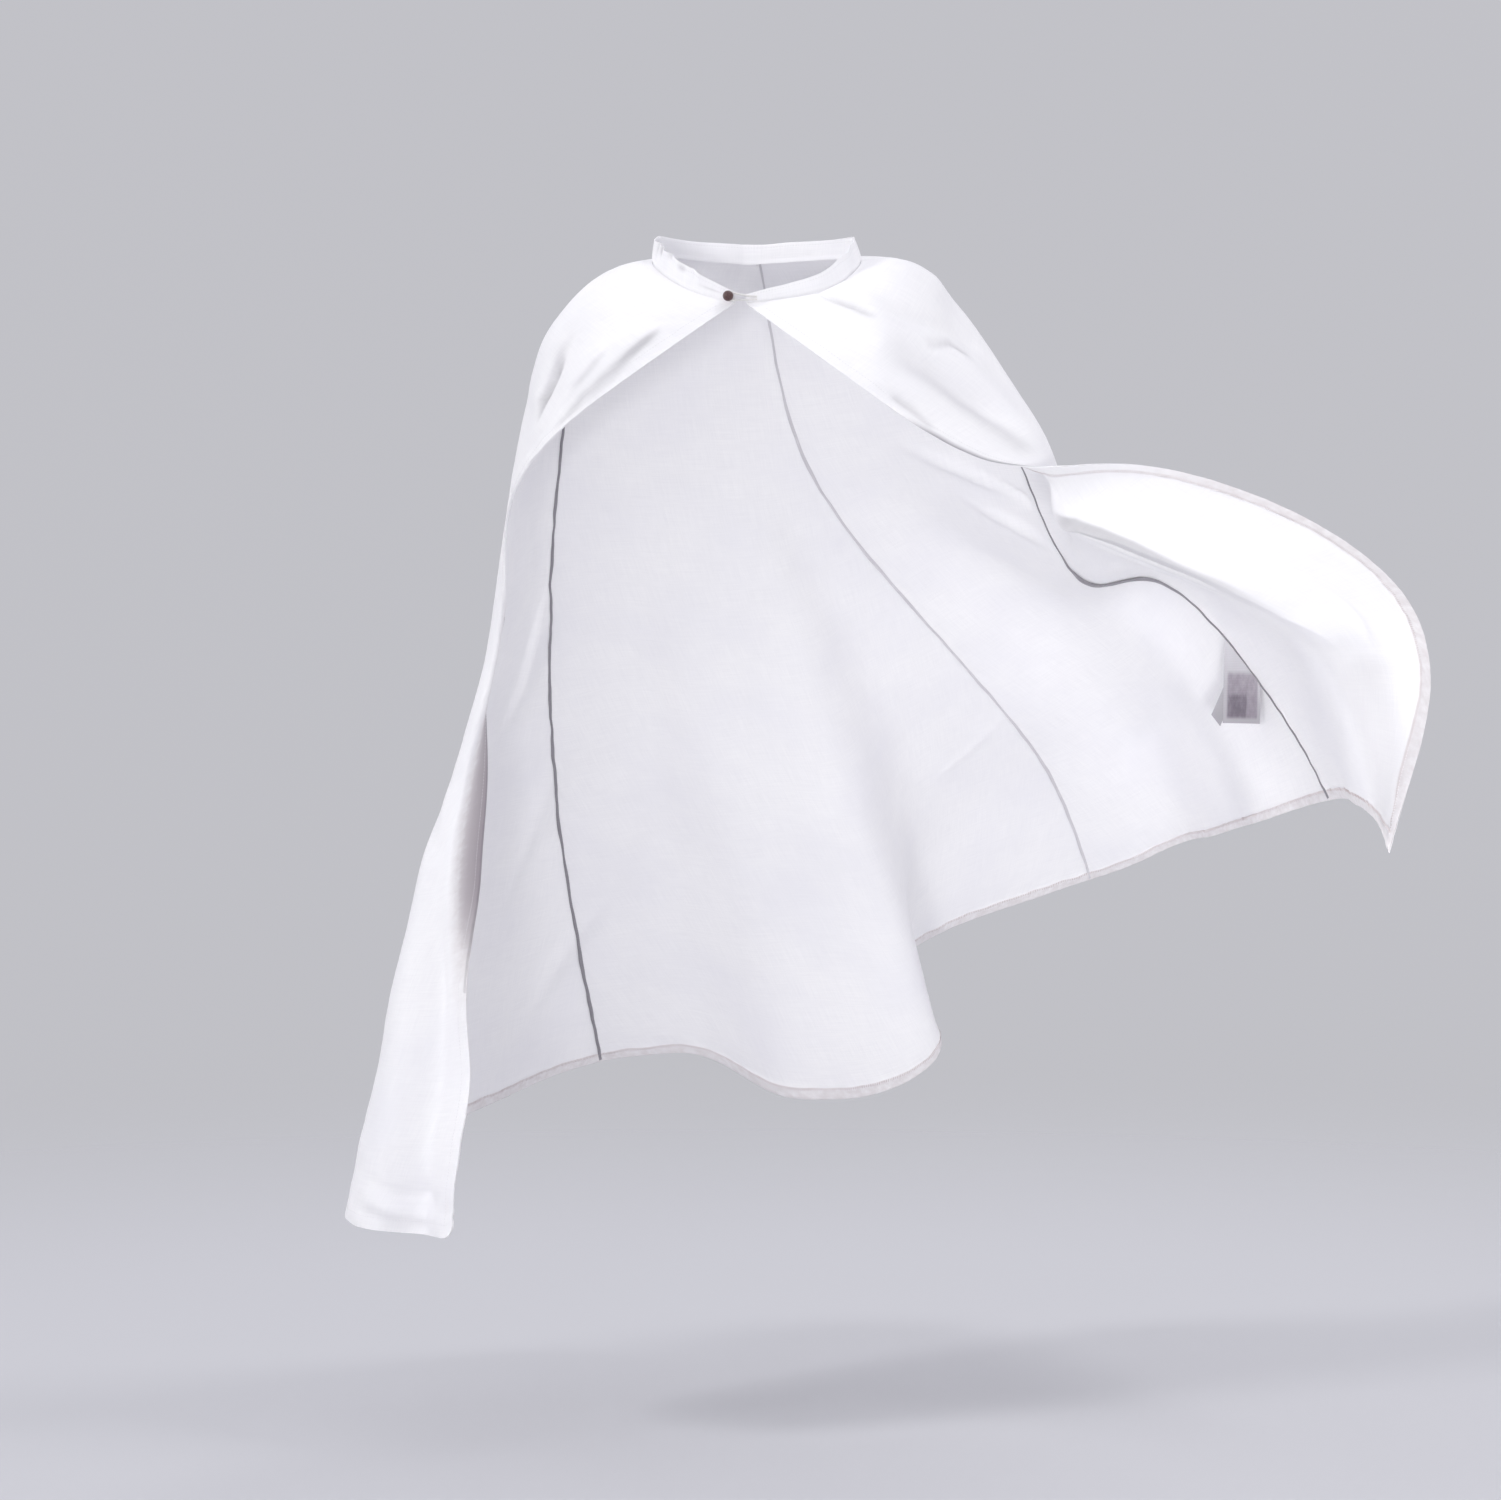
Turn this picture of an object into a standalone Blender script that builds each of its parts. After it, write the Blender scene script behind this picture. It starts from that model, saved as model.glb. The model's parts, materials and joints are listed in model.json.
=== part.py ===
"""A plain cape with a low collar, worn and blown out to one side by the wind.

The cape is cut in four gores that hang from the neck seam. Their form is held by fall lines: each is
one line of the cloth from the neck to the hem, with a place at the shoulder, the arm, the waist, the
hip, the knee and the hem. Smooth curves run down the fall lines and across them, and the fold table
raises or sinks the cloth along single folds. Each gore is that surface, made a wall with Solidify, and
every piece that lies on the cloth is made from the same surface, moved out.

Frame: metres, +Z up, origin at the middle of the neck. The wearer faces -Y, so the wearer's left is +X.
"""

import math
from dataclasses import dataclass

import bmesh
import bpy
import numpy as np

MM = 0.001

CLOTH_WALL = 1.5 * MM
HEM_WALL = 2.6 * MM
HEM_WIDTH = 16.0 * MM
HEM_STEP = 2.0 * MM
SEAM_GAP = 0.6 * MM
COLLAR_GAP = 1.0 * MM
CUT_LENGTH = 1300.0 * MM

NECK_HALF_WIDTH = 130.0 * MM
NECK_HALF_DEPTH = 84.0 * MM
NECK_FRONT_Z = -44.0 * MM
NECK_SIDE_Z = 10.0 * MM
NECK_BACK_Z = 10.0 * MM

GORE_ROWS = 34
COLLAR_COLUMNS = 40
COLLAR_ROWS = 4

BEAD_DIAMETER = 13.0 * MM
BEAD_BEARING = 15.0
BEAD_ABOVE_SEAM = 7.0 * MM
BEAD_STAND_OFF = 1.5 * MM
CORD_DIAMETER = 2.4 * MM
CORD_START_BEARING = 0.0
CORD_GAP = 0.5 * MM

LABEL_TOP_FALLS = (0.775, 0.838)
LABEL_FOOT_Z = -593.0 * MM
LABEL_WALL = 1.0 * MM
LABEL_OFF_SEAM = 2.4 * MM
LABEL_BACK_SWING = 0.20
TAB_TOP_FALLS = (0.752, 0.768)
TAB_LENGTH = 108.0 * MM
TAB_SIDE_SWING = -0.02

STATIONS = (0.0, 0.12, 0.27, 0.45, 0.63, 0.81, 1.0)


@dataclass(frozen=True)
class FallLine:
    """One line of the cloth: its bearing round the neck in degrees, then its places in millimetres."""

    name: str
    bearing: float
    shoulder: tuple
    arm: tuple
    waist: tuple
    hip: tuple
    knee: tuple
    hem: tuple


FALL_LINES = (
    FallLine("right edge", 12, (-148, -120, -127), (-294, -45, -261), (-318, 80, -465),
             (-366, 78, -690), (-377, 52, -925), (-388, 10, -1220)),
    FallLine("tail", 30, (-186, -97, -95), (-300, 5, -250), (-335, 80, -490),
             (-402, 88, -705), (-424, 70, -935), (-452, 45, -1217)),
    FallLine("tail turn", 51, (-226, -62, -63), (-302, 50, -230), (-349, 125, -505),
             (-418, 150, -720), (-473, 160, -945), (-528, 150, -1213)),
    FallLine("behind tail", 71, (-237, -18, -47), (-283, 92, -207), (-315, 190, -480),
             (-362, 275, -710), (-408, 340, -925), (-440, 360, -1145)),
    FallLine("right seam", 92, (-205, 22, -20), (-247, 127, -195), (-270, 255, -460),
             (-265, 390, -690), (-245, 515, -880), (-215, 635, -1068)),
    FallLine("right back", 121, (-155, 90, -20), (-185, 165, -200), (-170, 290, -450),
             (-135, 420, -680), (-90, 560, -880), (-45, 680, -1085)),
    FallLine("flute near", 142, (-95, 115, -12), (-105, 182, -200), (-55, 300, -450),
             (10, 430, -670), (80, 555, -880), (140, 640, -1118)),
    FallLine("flute turn", 158, (-50, 128, -10), (-42, 190, -200), (45, 318, -445),
             (125, 455, -670), (200, 585, -885), (252, 655, -1041)),
    FallLine("flute far", 169, (-22, 132, -8), (0, 200, -200), (95, 360, -425),
             (175, 520, -615), (212, 665, -775), (186, 765, -956)),
    FallLine("back seam", 180, (8, 134, -8), (45, 210, -198), (170, 372, -395),
             (305, 535, -550), (405, 700, -680), (470, 840, -834)),
    FallLine("left back", 222, (95, 112, -5), (140, 212, -185), (290, 395, -355),
             (440, 535, -482), (568, 625, -607), (640, 665, -757)),
    FallLine("left seam", 266, (208, 32, 0), (304, 130, -160), (415, 320, -385),
             (520, 412, -398), (650, 432, -506), (762, 395, -691)),
    FallLine("recess", 294, (210, -28, -27), (362, 62, -204), (400, 175, -335),
             (535, 225, -385), (690, 275, -480), (778, 250, -686)),
    FallLine("ridge", 324, (176, -88, -86), (338, -5, -220), (392, 55, -305),
             (560, 75, -380), (728, 140, -475), (785, 92, -692)),
    FallLine("left edge", 366, (115, -122, -137), (282, -62, -236), (470, 60, -243),
             (705, 150, -317), (857, 172, -472), (790, -20, -727)),
)

RIGHT_EDGE, RIGHT_SEAM, BACK_SEAM, LEFT_SEAM, LEFT_EDGE = 0, 4, 9, 11, 14


@dataclass(frozen=True)
class Fold:
    """One soft fold: its fall lines at the top and at the foot, its reach, and its size in millimetres."""

    name: str
    top: float
    foot: float
    start: float
    end: float
    width: float
    height: float


FOLDS = (
    Fold("right chest roll", 0.7, 0.8, 0.03, 0.27, 24, 7),
    Fold("right chest dip", 1.6, 1.7, 0.04, 0.25, 22, -5),
    Fold("left chest roll", 13.3, 13.4, 0.03, 0.27, 24, 6),
    Fold("left chest dip", 12.6, 12.7, 0.05, 0.26, 24, -5),
    Fold("tail groove", 0.9, 1.1, 0.40, 1.02, 34, -14),
    Fold("right hip flute", 3.0, 3.2, 0.35, 1.02, 60, 12),
    Fold("right back flute", 5.0, 4.8, 0.22, 1.02, 60, 16),
    Fold("right back groove", 5.7, 5.5, 0.25, 1.02, 50, -14),
    Fold("left back flute", 9.7, 9.6, 0.25, 1.02, 60, 16),
    Fold("left back groove", 10.5, 10.4, 0.30, 1.02, 60, -16),
)


@dataclass(frozen=True)
class CollarSection:
    """The collar at one bearing: how high it stands and how far its rim leans out, in millimetres."""

    bearing: float
    height: float
    lean: float


COLLAR_SECTIONS = (
    CollarSection(12, 12, -1),
    CollarSection(40, 25, -5),
    CollarSection(70, 28, -4),
    CollarSection(92, 27, -4),
    CollarSection(130, 22, 2),
    CollarSection(180, 22, 6),
    CollarSection(230, 22, 2),
    CollarSection(268, 27, -9),
    CollarSection(290, 27, -8),
    CollarSection(320, 22, -6),
    CollarSection(366, 11, -2),
)


@dataclass(frozen=True)
class Gore:
    """One cut piece between two fall lines, with the number of its columns and its front edge, if any."""

    name: str
    first: int
    last: int
    columns: int
    front_edge: str = ""


GORES = (
    Gore("gore_right_front", RIGHT_EDGE, RIGHT_SEAM, 15, "first"),
    Gore("gore_right_back", RIGHT_SEAM, BACK_SEAM, 16),
    Gore("gore_left_back", BACK_SEAM, LEFT_SEAM, 12),
    Gore("gore_left_front", LEFT_SEAM, LEFT_EDGE, 14, "last"),
)


@dataclass(frozen=True)
class Look:
    """A plain material: its name, base colour and roughness."""

    name: str
    colour: tuple
    roughness: float


COTTON = Look("white_cotton", (0.88, 0.88, 0.89, 1.0), 0.85)
WOOD = Look("dark_wood", (0.055, 0.032, 0.035, 1.0), 0.45)
CORD = Look("dark_cord", (0.070, 0.050, 0.050, 1.0), 0.80)
TAPE = Look("grey_tape", (0.600, 0.590, 0.620, 1.0), 0.60)


def spline(knots, values, at):
    """Return the natural cubic spline through values (first axis = knots), taken at the places at."""
    knots = np.asarray(knots, float)
    values = np.asarray(values, float)
    at = np.asarray(at, float)
    count = len(knots)
    step = np.diff(knots)
    slope = np.diff(values, axis=0) / step.reshape((-1,) + (1,) * (values.ndim - 1))
    system = np.eye(count)
    right = np.zeros_like(values)
    for i in range(1, count - 1):
        system[i, i - 1] = step[i - 1]
        system[i, i] = 2.0 * (step[i - 1] + step[i])
        system[i, i + 1] = step[i]
        right[i] = 6.0 * (slope[i] - slope[i - 1])
    bend = np.linalg.solve(system, right.reshape(count, -1)).reshape(values.shape)
    k = np.clip(np.searchsorted(knots, at, side="right") - 1, 0, count - 2)
    shape = at.shape + (1,) * (values.ndim - 1)
    h = step[k].reshape(shape)
    a = ((knots[k + 1] - at).reshape(shape)) / h
    b = ((at - knots[k]).reshape(shape)) / h
    return (a * values[k] + b * values[k + 1]
            + ((a ** 3 - a) * bend[k] + (b ** 3 - b) * bend[k + 1]) * h * h / 6.0)


def neck_ring(bearing):
    """Return points of the neck seam at bearings in degrees: 0 front, 90 the wearer's right, 180 back."""
    angle = np.radians(np.asarray(bearing, float))
    swing = 0.5 * (NECK_FRONT_Z - NECK_BACK_Z)
    mean = 0.25 * (NECK_FRONT_Z + NECK_BACK_Z) + 0.5 * NECK_SIDE_Z
    dip = 0.25 * (NECK_FRONT_Z + NECK_BACK_Z) - 0.5 * NECK_SIDE_Z
    return np.stack([-NECK_HALF_WIDTH * np.sin(angle), -NECK_HALF_DEPTH * np.cos(angle),
                     mean + swing * np.cos(angle) + dip * np.cos(2.0 * angle)], axis=-1)


def outward(bearing):
    """Return the level directions that point out from the neck at bearings in degrees."""
    angle = np.radians(np.asarray(bearing, float))
    return np.stack([-np.sin(angle), -np.cos(angle), np.zeros_like(angle)], axis=-1)


def fall_net():
    """Return the places of all fall lines in metres, station by line by (x, y, z)."""
    rows = []
    for line in FALL_LINES:
        places = (line.shoulder, line.arm, line.waist, line.hip, line.knee, line.hem)
        rows.append(np.vstack([neck_ring(line.bearing), np.array(places, float) * MM]))
    return np.array(rows).transpose(1, 0, 2)


def line_shares(net):
    """Return each fall line's share of the cape's width, from the mean distance between the lines."""
    apart = np.linalg.norm(np.diff(net[2:], axis=1), axis=2).mean(axis=0)
    total = np.concatenate([[0.0], np.cumsum(np.sqrt(apart))])
    return total / total[-1]


NET = fall_net()
SHARES = line_shares(NET)


def share_of(line):
    """Return the share at a fall line's number, which may lie between two lines."""
    return np.interp(line, np.arange(len(SHARES)), SHARES)


def plain_row(fall, shares):
    """Return the points of the cloth before its folds, at one fall and many shares."""
    return spline(SHARES, spline(STATIONS, NET, np.array([fall]))[0], shares)


def fold_heights(fall, shares, stretch):
    """Return how far the folds raise the cloth at one fall, with stretch in metres for a whole share."""
    height = np.zeros_like(shares)
    for fold in FOLDS:
        along = (fall - fold.start) / (fold.end - fold.start)
        if 0.0 < along < 1.0:
            fade = math.sin(math.pi * (min(along, 0.5) if fold.end > 1.0 else along)) ** 2
            centre = share_of(fold.top + (fold.foot - fold.top) * along)
            apart = (shares - centre) * stretch / (fold.width * MM)
            height += fold.height * MM * fade * np.exp(-apart ** 2)
    return height


def cloth_row(fall, shares):
    """Return the points of the finished outer face at one fall and many shares, and its normals."""
    step = 0.001
    shares = np.asarray(shares, float)
    before, after = max(fall - step, 0.0), min(fall + step, 1.0)
    across = (plain_row(fall, shares + step) - plain_row(fall, shares - step)) / (2.0 * step)
    down = (plain_row(after, shares) - plain_row(before, shares)) / (after - before)
    normal = np.cross(across, down)
    normal /= np.linalg.norm(normal, axis=1, keepdims=True)
    lift = fold_heights(fall, shares, np.linalg.norm(across, axis=1))
    return plain_row(fall, shares) + normal * lift[:, None], normal


def gore_distances(gore, width):
    """Return the distances of a gore's columns across a row of this width, with its front hem's lines."""
    low, high = 0.5 * SEAM_GAP, width - 0.5 * SEAM_GAP
    head, tail = [], []
    band = min(HEM_WIDTH, 0.2 * width)
    if gore.front_edge == "first":
        head = [0.0, band]
        low = band + HEM_STEP
    if gore.front_edge == "last":
        tail = [width - band, width]
        high = width - band - HEM_STEP
    return np.array(head + list(np.linspace(low, high, gore.columns + 1)) + tail)


def gore_shares(gore, fall):
    """Return the shares of a gore's columns at one fall, spaced by real distance along the row."""
    fine = np.linspace(SHARES[gore.first], SHARES[gore.last], 80)
    points, _ = cloth_row(fall, fine)
    run = np.concatenate([[0.0], np.cumsum(np.linalg.norm(np.diff(points, axis=0), axis=1))])
    return np.interp(gore_distances(gore, run[-1]), run, fine)


def gore_falls():
    """Return the falls of a gore's rows: even down to the hem band, then the band itself."""
    band = 1.0 - HEM_WIDTH / CUT_LENGTH
    return list(np.linspace(0.0, band - HEM_STEP / CUT_LENGTH, GORE_ROWS - 1)) + [band, 1.0]


def sheet_object(name, rows, facing, weights=None):
    """Return an object whose mesh is a grid through rows of points, its face turned to facing."""
    row_count, column_count = len(rows), len(rows[0])
    mesh = bpy.data.meshes.new(name)
    grid = bmesh.new()
    bmesh.ops.create_grid(grid, x_segments=column_count - 1, y_segments=row_count - 1, size=1.0)
    grid.verts.ensure_lookup_table()
    for i in range(row_count):
        for j in range(column_count):
            grid.verts[i * column_count + j].co = rows[i][j]
    grid.normal_update()
    middle = grid.verts[(row_count // 2) * column_count + column_count // 2]
    if middle.normal.dot(facing) < 0.0:
        bmesh.ops.reverse_faces(grid, faces=grid.faces[:])
    grid.to_mesh(mesh)
    grid.free()
    mesh.shade_smooth()
    sheet = bpy.data.objects.new(name, mesh)
    if weights is not None:
        group = sheet.vertex_groups.new(name="wall")
        for index, weight in enumerate(np.ravel(weights)):
            group.add([index], float(weight), "REPLACE")
    return sheet


def thicken(sheet, wall, group=""):
    """Give a sheet its wall, inward from its outer face, scaled by the vertex group where one is named."""
    solid = sheet.modifiers.new("wall", "SOLIDIFY")
    solid.thickness = wall
    solid.offset = -1.0
    solid.use_rim = True
    solid.use_quality_normals = True
    if group:
        solid.vertex_group = group


def make_gore(gore):
    """Return one gore: the cloth between two fall lines, with thicker bands at its hems."""
    rows, weights, normals = [], [], []
    falls = gore_falls()
    for index, fall in enumerate(falls):
        points, normal = cloth_row(fall, gore_shares(gore, fall))
        weight = np.full(len(points), 1.0 if index >= len(falls) - 2 else CLOTH_WALL / HEM_WALL)
        if gore.front_edge == "first":
            weight[:2] = 1.0
        if gore.front_edge == "last":
            weight[-2:] = 1.0
        rows.append(points)
        weights.append(weight)
        normals.append(normal)
    sheet = sheet_object(gore.name, rows, normals[len(rows) // 2][len(rows[0]) // 2], np.array(weights))
    thicken(sheet, HEM_WALL, "wall")
    return sheet


def collar_row(shares, rise):
    """Return points of the collar's outer face at shares, rise 0 at the neck seam and 1 at the rim."""
    bearing = spline(SHARES, [line.bearing for line in FALL_LINES], shares)
    knots = [section.bearing for section in COLLAR_SECTIONS]
    height = spline(knots, [section.height for section in COLLAR_SECTIONS], bearing) * MM
    lean = spline(knots, [section.lean for section in COLLAR_SECTIONS], bearing) * MM
    points = plain_row(0.0, shares)
    points[:, 2] += COLLAR_GAP + height * rise
    return points + outward(bearing) * (lean * rise ** 1.5)[:, None]


def make_collar():
    """Return the stand collar, one band round the neck and open at the front."""
    fine = np.linspace(0.0, 1.0, 400)
    ring = plain_row(0.0, fine)
    run = np.concatenate([[0.0], np.cumsum(np.linalg.norm(np.diff(ring, axis=0), axis=1))])
    shares = np.interp(np.linspace(0.0, run[-1], COLLAR_COLUMNS + 1), run, fine)
    rows = [collar_row(shares, rise) for rise in np.linspace(0.0, 1.0, COLLAR_ROWS + 1)]
    sheet = sheet_object("collar", rows, (0.0, 1.0, 0.0))
    thicken(sheet, CLOTH_WALL)
    return sheet


def make_bead():
    """Return the round bead of the clasp, in front of the collar's right end."""
    mesh = bpy.data.meshes.new("clasp_bead")
    ball = bmesh.new()
    bmesh.ops.create_uvsphere(ball, u_segments=16, v_segments=10, radius=0.5 * BEAD_DIAMETER)
    ball.to_mesh(mesh)
    ball.free()
    mesh.shade_smooth()
    bead = bpy.data.objects.new("clasp_bead", mesh)
    place = neck_ring(BEAD_BEARING) + outward(BEAD_BEARING) * (0.5 * BEAD_DIAMETER + BEAD_STAND_OFF)
    bead.location = place + np.array([0.0, 0.0, BEAD_ABOVE_SEAM])
    return bead


def make_loop():
    """Return the cord from the collar's left end, round the bead and back to the collar."""
    off = 0.5 * CORD_DIAMETER + 2.0 * CORD_GAP
    reach = 0.5 * (BEAD_DIAMETER + CORD_DIAMETER) + CORD_GAP
    ring = math.sqrt(reach ** 2 - (0.5 * BEAD_DIAMETER + BEAD_STAND_OFF - off) ** 2)
    degree = np.linalg.norm(neck_ring(BEAD_BEARING + 0.5) - neck_ring(BEAD_BEARING - 0.5))
    strand = 0.5 * CORD_DIAMETER + CORD_GAP
    flat = [(CORD_START_BEARING, strand), (4.0, strand + 0.5 * MM), (8.0, strand + 1.6 * MM)]
    for angle in np.radians(np.linspace(115.0, -115.0, 13)):
        flat.append((BEAD_BEARING + ring * math.cos(angle) / degree, ring * math.sin(angle)))
    flat += [(bearing, -height) for bearing, height in reversed(flat[:3])]
    curve = bpy.data.curves.new("clasp_loop", "CURVE")
    curve.dimensions = "3D"
    curve.bevel_depth = 0.5 * CORD_DIAMETER
    curve.bevel_resolution = 1
    curve.use_fill_caps = True
    path = curve.splines.new("POLY")
    path.points.add(len(flat) - 1)
    for point, (bearing, height) in zip(path.points, flat):
        place = neck_ring(bearing) + outward(bearing) * off
        point.co = (place[0], place[1], place[2] + BEAD_ABOVE_SEAM + height, 1.0)
    return bpy.data.objects.new("clasp_loop", curve)


def hanging_sheet(name, falls, columns, off, foot):
    """Return a narrow sheet that hangs from the inside of the left seam between two falls.

    off is its distance from the cloth, and foot gives a top point's place at the lower edge.
    """
    tops = []
    for fall in np.linspace(falls[0], falls[1], columns + 1):
        points, normals = cloth_row(fall, SHARES[LEFT_SEAM:LEFT_SEAM + 1])
        tops.append(points[0] - normals[0] * (CLOTH_WALL + off))
    tops = np.array(tops)
    feet = np.array([foot(top) for top in tops])
    bow = np.array([0.0, -4.0 * MM, 0.0])
    rows = [tops + (feet - tops) * down + bow * math.sin(math.pi * down) for down in np.linspace(0.0, 1.0, 6)]
    sheet = sheet_object(name, rows, (0.0, -1.0, 0.0))
    thicken(sheet, LABEL_WALL)
    return sheet


def make_label():
    """Return the blank care label, hung from the left seam with its lower edge level."""
    def foot(top):
        drop = top[2] - LABEL_FOOT_Z
        return np.array([top[0], top[1] + LABEL_BACK_SWING * drop, LABEL_FOOT_Z])
    return hanging_sheet("care_label", LABEL_TOP_FALLS, 4, LABEL_OFF_SEAM, foot)


def make_tab():
    """Return the narrow second tab beside the label, swung a little to its side."""
    def foot(top):
        return top + TAB_LENGTH * np.array([-TAB_SIDE_SWING, LABEL_BACK_SWING + 0.06, -0.97])
    return hanging_sheet("care_tab", TAB_TOP_FALLS, 2, LABEL_OFF_SEAM, foot)


def give_look(piece, look):
    """Give a piece its plain material, made once for each look."""
    material = bpy.data.materials.get(look.name)
    if material is None:
        material = bpy.data.materials.new(look.name)
        material.use_nodes = True
        shader = material.node_tree.nodes["Principled BSDF"]
        shader.inputs["Base Color"].default_value = look.colour
        shader.inputs["Roughness"].default_value = look.roughness
        shader.inputs["Metallic"].default_value = 0.0
    piece.data.materials.append(material)


def build():
    """Make every piece, each in its material, in a collection of their own."""
    for item in list(bpy.data.objects):
        bpy.data.objects.remove(item)
    home = bpy.data.collections.new("cape")
    bpy.context.scene.collection.children.link(home)
    pieces = [(make_gore(gore), COTTON) for gore in GORES]
    pieces += [(make_collar(), COTTON), (make_bead(), WOOD), (make_loop(), CORD)]
    pieces += [(make_label(), TAPE), (make_tab(), TAPE)]
    for piece, look in pieces:
        give_look(piece, look)
        home.objects.link(piece)


if __name__ == "__main__":
    build()
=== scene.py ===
"""Looks of a plain white cotton cape, worn and blown out to the wearer's left by the wind.

The cloth is one smooth surface through fall lines, the same as in the solids, with its folds. Finer
creases, ripples, puckered seams and a rolled front edge are added to it here. Four gores, a collar, hems,
seam allowances, stitches, a bead-and-loop clasp and a blank care label are made from that surface.

Frame: metres, +Z up, origin at the middle of the neck. The wearer faces -Y, so the wearer's left is +X.
A place on the cloth is a share, 0 at the right front edge and 1 at the left one, and a fall, 0 at the
neck seam and 1 at the hem. Fall lines are numbered from the right front edge, and a number between two
lines lies between them.
"""

import json
import logging
import math
from dataclasses import dataclass, field
from enum import Enum
from typing import Callable, Iterable, Sequence

import bmesh
import bpy
import numpy as np
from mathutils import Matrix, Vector

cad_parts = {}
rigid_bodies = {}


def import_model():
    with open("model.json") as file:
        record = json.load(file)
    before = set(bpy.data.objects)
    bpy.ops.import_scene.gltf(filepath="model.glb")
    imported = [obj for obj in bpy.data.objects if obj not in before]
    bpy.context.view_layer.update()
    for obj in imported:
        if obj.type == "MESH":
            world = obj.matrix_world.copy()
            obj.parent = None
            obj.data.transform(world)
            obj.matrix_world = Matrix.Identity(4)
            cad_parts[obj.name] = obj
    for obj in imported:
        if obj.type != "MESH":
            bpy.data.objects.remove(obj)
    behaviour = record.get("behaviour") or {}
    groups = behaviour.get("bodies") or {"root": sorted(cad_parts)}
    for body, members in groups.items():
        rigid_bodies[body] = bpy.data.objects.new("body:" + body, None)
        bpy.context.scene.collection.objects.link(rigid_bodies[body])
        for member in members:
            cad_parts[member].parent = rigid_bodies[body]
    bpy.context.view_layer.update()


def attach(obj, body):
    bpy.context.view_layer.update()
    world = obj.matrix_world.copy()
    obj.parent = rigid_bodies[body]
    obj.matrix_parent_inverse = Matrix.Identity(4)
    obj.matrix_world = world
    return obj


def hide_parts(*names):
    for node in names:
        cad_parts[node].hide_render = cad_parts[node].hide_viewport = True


for item in list(bpy.data.objects):
    bpy.data.objects.remove(item)
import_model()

log = logging.getLogger("cape")

MM = 0.001
SEED = 11
Array = np.ndarray
Place = tuple[float, float, float]
Path = tuple[tuple[float, float], ...]
Socket = bpy.types.NodeSocket

CUT_LENGTH = 1300.0 * MM
HEM_WIDTH = 16.0 * MM
# The hem with a little to spare, so that rounding leaves its last row and column in it.
HEM_REACH = HEM_WIDTH * 1.001
STATIONS = (0.0, 0.12, 0.27, 0.45, 0.63, 0.81, 1.0)
RIGHT_EDGE, RIGHT_SEAM, BACK_SEAM, LEFT_SEAM, LEFT_EDGE = 0, 4, 9, 11, 14


class Side(Enum):
    """The two faces of the cloth."""

    OUTSIDE = 1
    INSIDE = -1


class Profile(Enum):
    """How a crease is shaped across its line: rounded, pinched, or a fold that drops off on one side.

    The values are the curve's power, and the width on the side of lower shares as a part of the whole width.
    """

    SOFT = (2.0, 1.0)
    SHARP = (1.0, 1.0)
    STEP = (2.0, 0.16)


class Edge(Enum):
    """What a gore's side edge is: the hemmed front edge or a seam."""

    FRONT = "front"
    SEAM = "seam"


@dataclass(frozen=True)
class FallLine:
    """One line of the cloth: its bearing round the neck in degrees, then its places in millimetres."""

    name: str
    bearing: float
    shoulder: Place
    arm: Place
    waist: Place
    hip: Place
    knee: Place
    hem: Place


FALL_LINES = (
    FallLine("right edge", 12, (-148, -120, -127), (-294, -45, -261), (-318, 80, -465),
             (-366, 78, -690), (-377, 52, -925), (-388, 10, -1220)),
    FallLine("tail", 30, (-186, -97, -95), (-300, 5, -250), (-335, 80, -490),
             (-402, 88, -705), (-424, 70, -935), (-452, 45, -1217)),
    FallLine("tail turn", 51, (-226, -62, -63), (-302, 50, -230), (-349, 125, -505),
             (-418, 150, -720), (-473, 160, -945), (-528, 150, -1213)),
    FallLine("behind tail", 71, (-237, -18, -47), (-283, 92, -207), (-315, 190, -480),
             (-362, 275, -710), (-408, 340, -925), (-440, 360, -1145)),
    FallLine("right seam", 92, (-205, 22, -20), (-247, 127, -195), (-270, 255, -460),
             (-265, 390, -690), (-245, 515, -880), (-215, 635, -1068)),
    FallLine("right back", 121, (-155, 90, -20), (-185, 165, -200), (-170, 290, -450),
             (-135, 420, -680), (-90, 560, -880), (-45, 680, -1085)),
    FallLine("flute near", 142, (-95, 115, -12), (-105, 182, -200), (-55, 300, -450),
             (10, 430, -670), (80, 555, -880), (140, 640, -1118)),
    FallLine("flute turn", 158, (-50, 128, -10), (-42, 190, -200), (45, 318, -445),
             (125, 455, -670), (200, 585, -885), (252, 655, -1041)),
    FallLine("flute far", 169, (-22, 132, -8), (0, 200, -200), (95, 360, -425),
             (175, 520, -615), (212, 665, -775), (186, 765, -956)),
    FallLine("back seam", 180, (8, 134, -8), (45, 210, -198), (170, 372, -395),
             (305, 535, -550), (405, 700, -680), (470, 840, -834)),
    FallLine("left back", 222, (95, 112, -5), (140, 212, -185), (290, 395, -355),
             (440, 535, -482), (568, 625, -607), (640, 665, -757)),
    FallLine("left seam", 266, (208, 32, 0), (304, 130, -160), (415, 320, -385),
             (520, 412, -398), (650, 432, -506), (762, 395, -691)),
    FallLine("recess", 294, (210, -28, -27), (362, 62, -204), (400, 175, -335),
             (535, 225, -385), (690, 275, -480), (778, 250, -686)),
    FallLine("ridge", 324, (176, -88, -86), (338, -5, -220), (392, 55, -305),
             (560, 75, -380), (728, 140, -475), (785, 92, -692)),
    FallLine("left edge", 366, (115, -122, -137), (282, -62, -236), (470, 60, -243),
             (705, 150, -317), (857, 172, -472), (790, -20, -727)),
)


@dataclass(frozen=True)
class Fold:
    """One soft fold: its fall lines at the top and at the foot, its reach, and its size in millimetres."""

    name: str
    top: float
    foot: float
    start: float
    end: float
    width: float
    height: float


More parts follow.
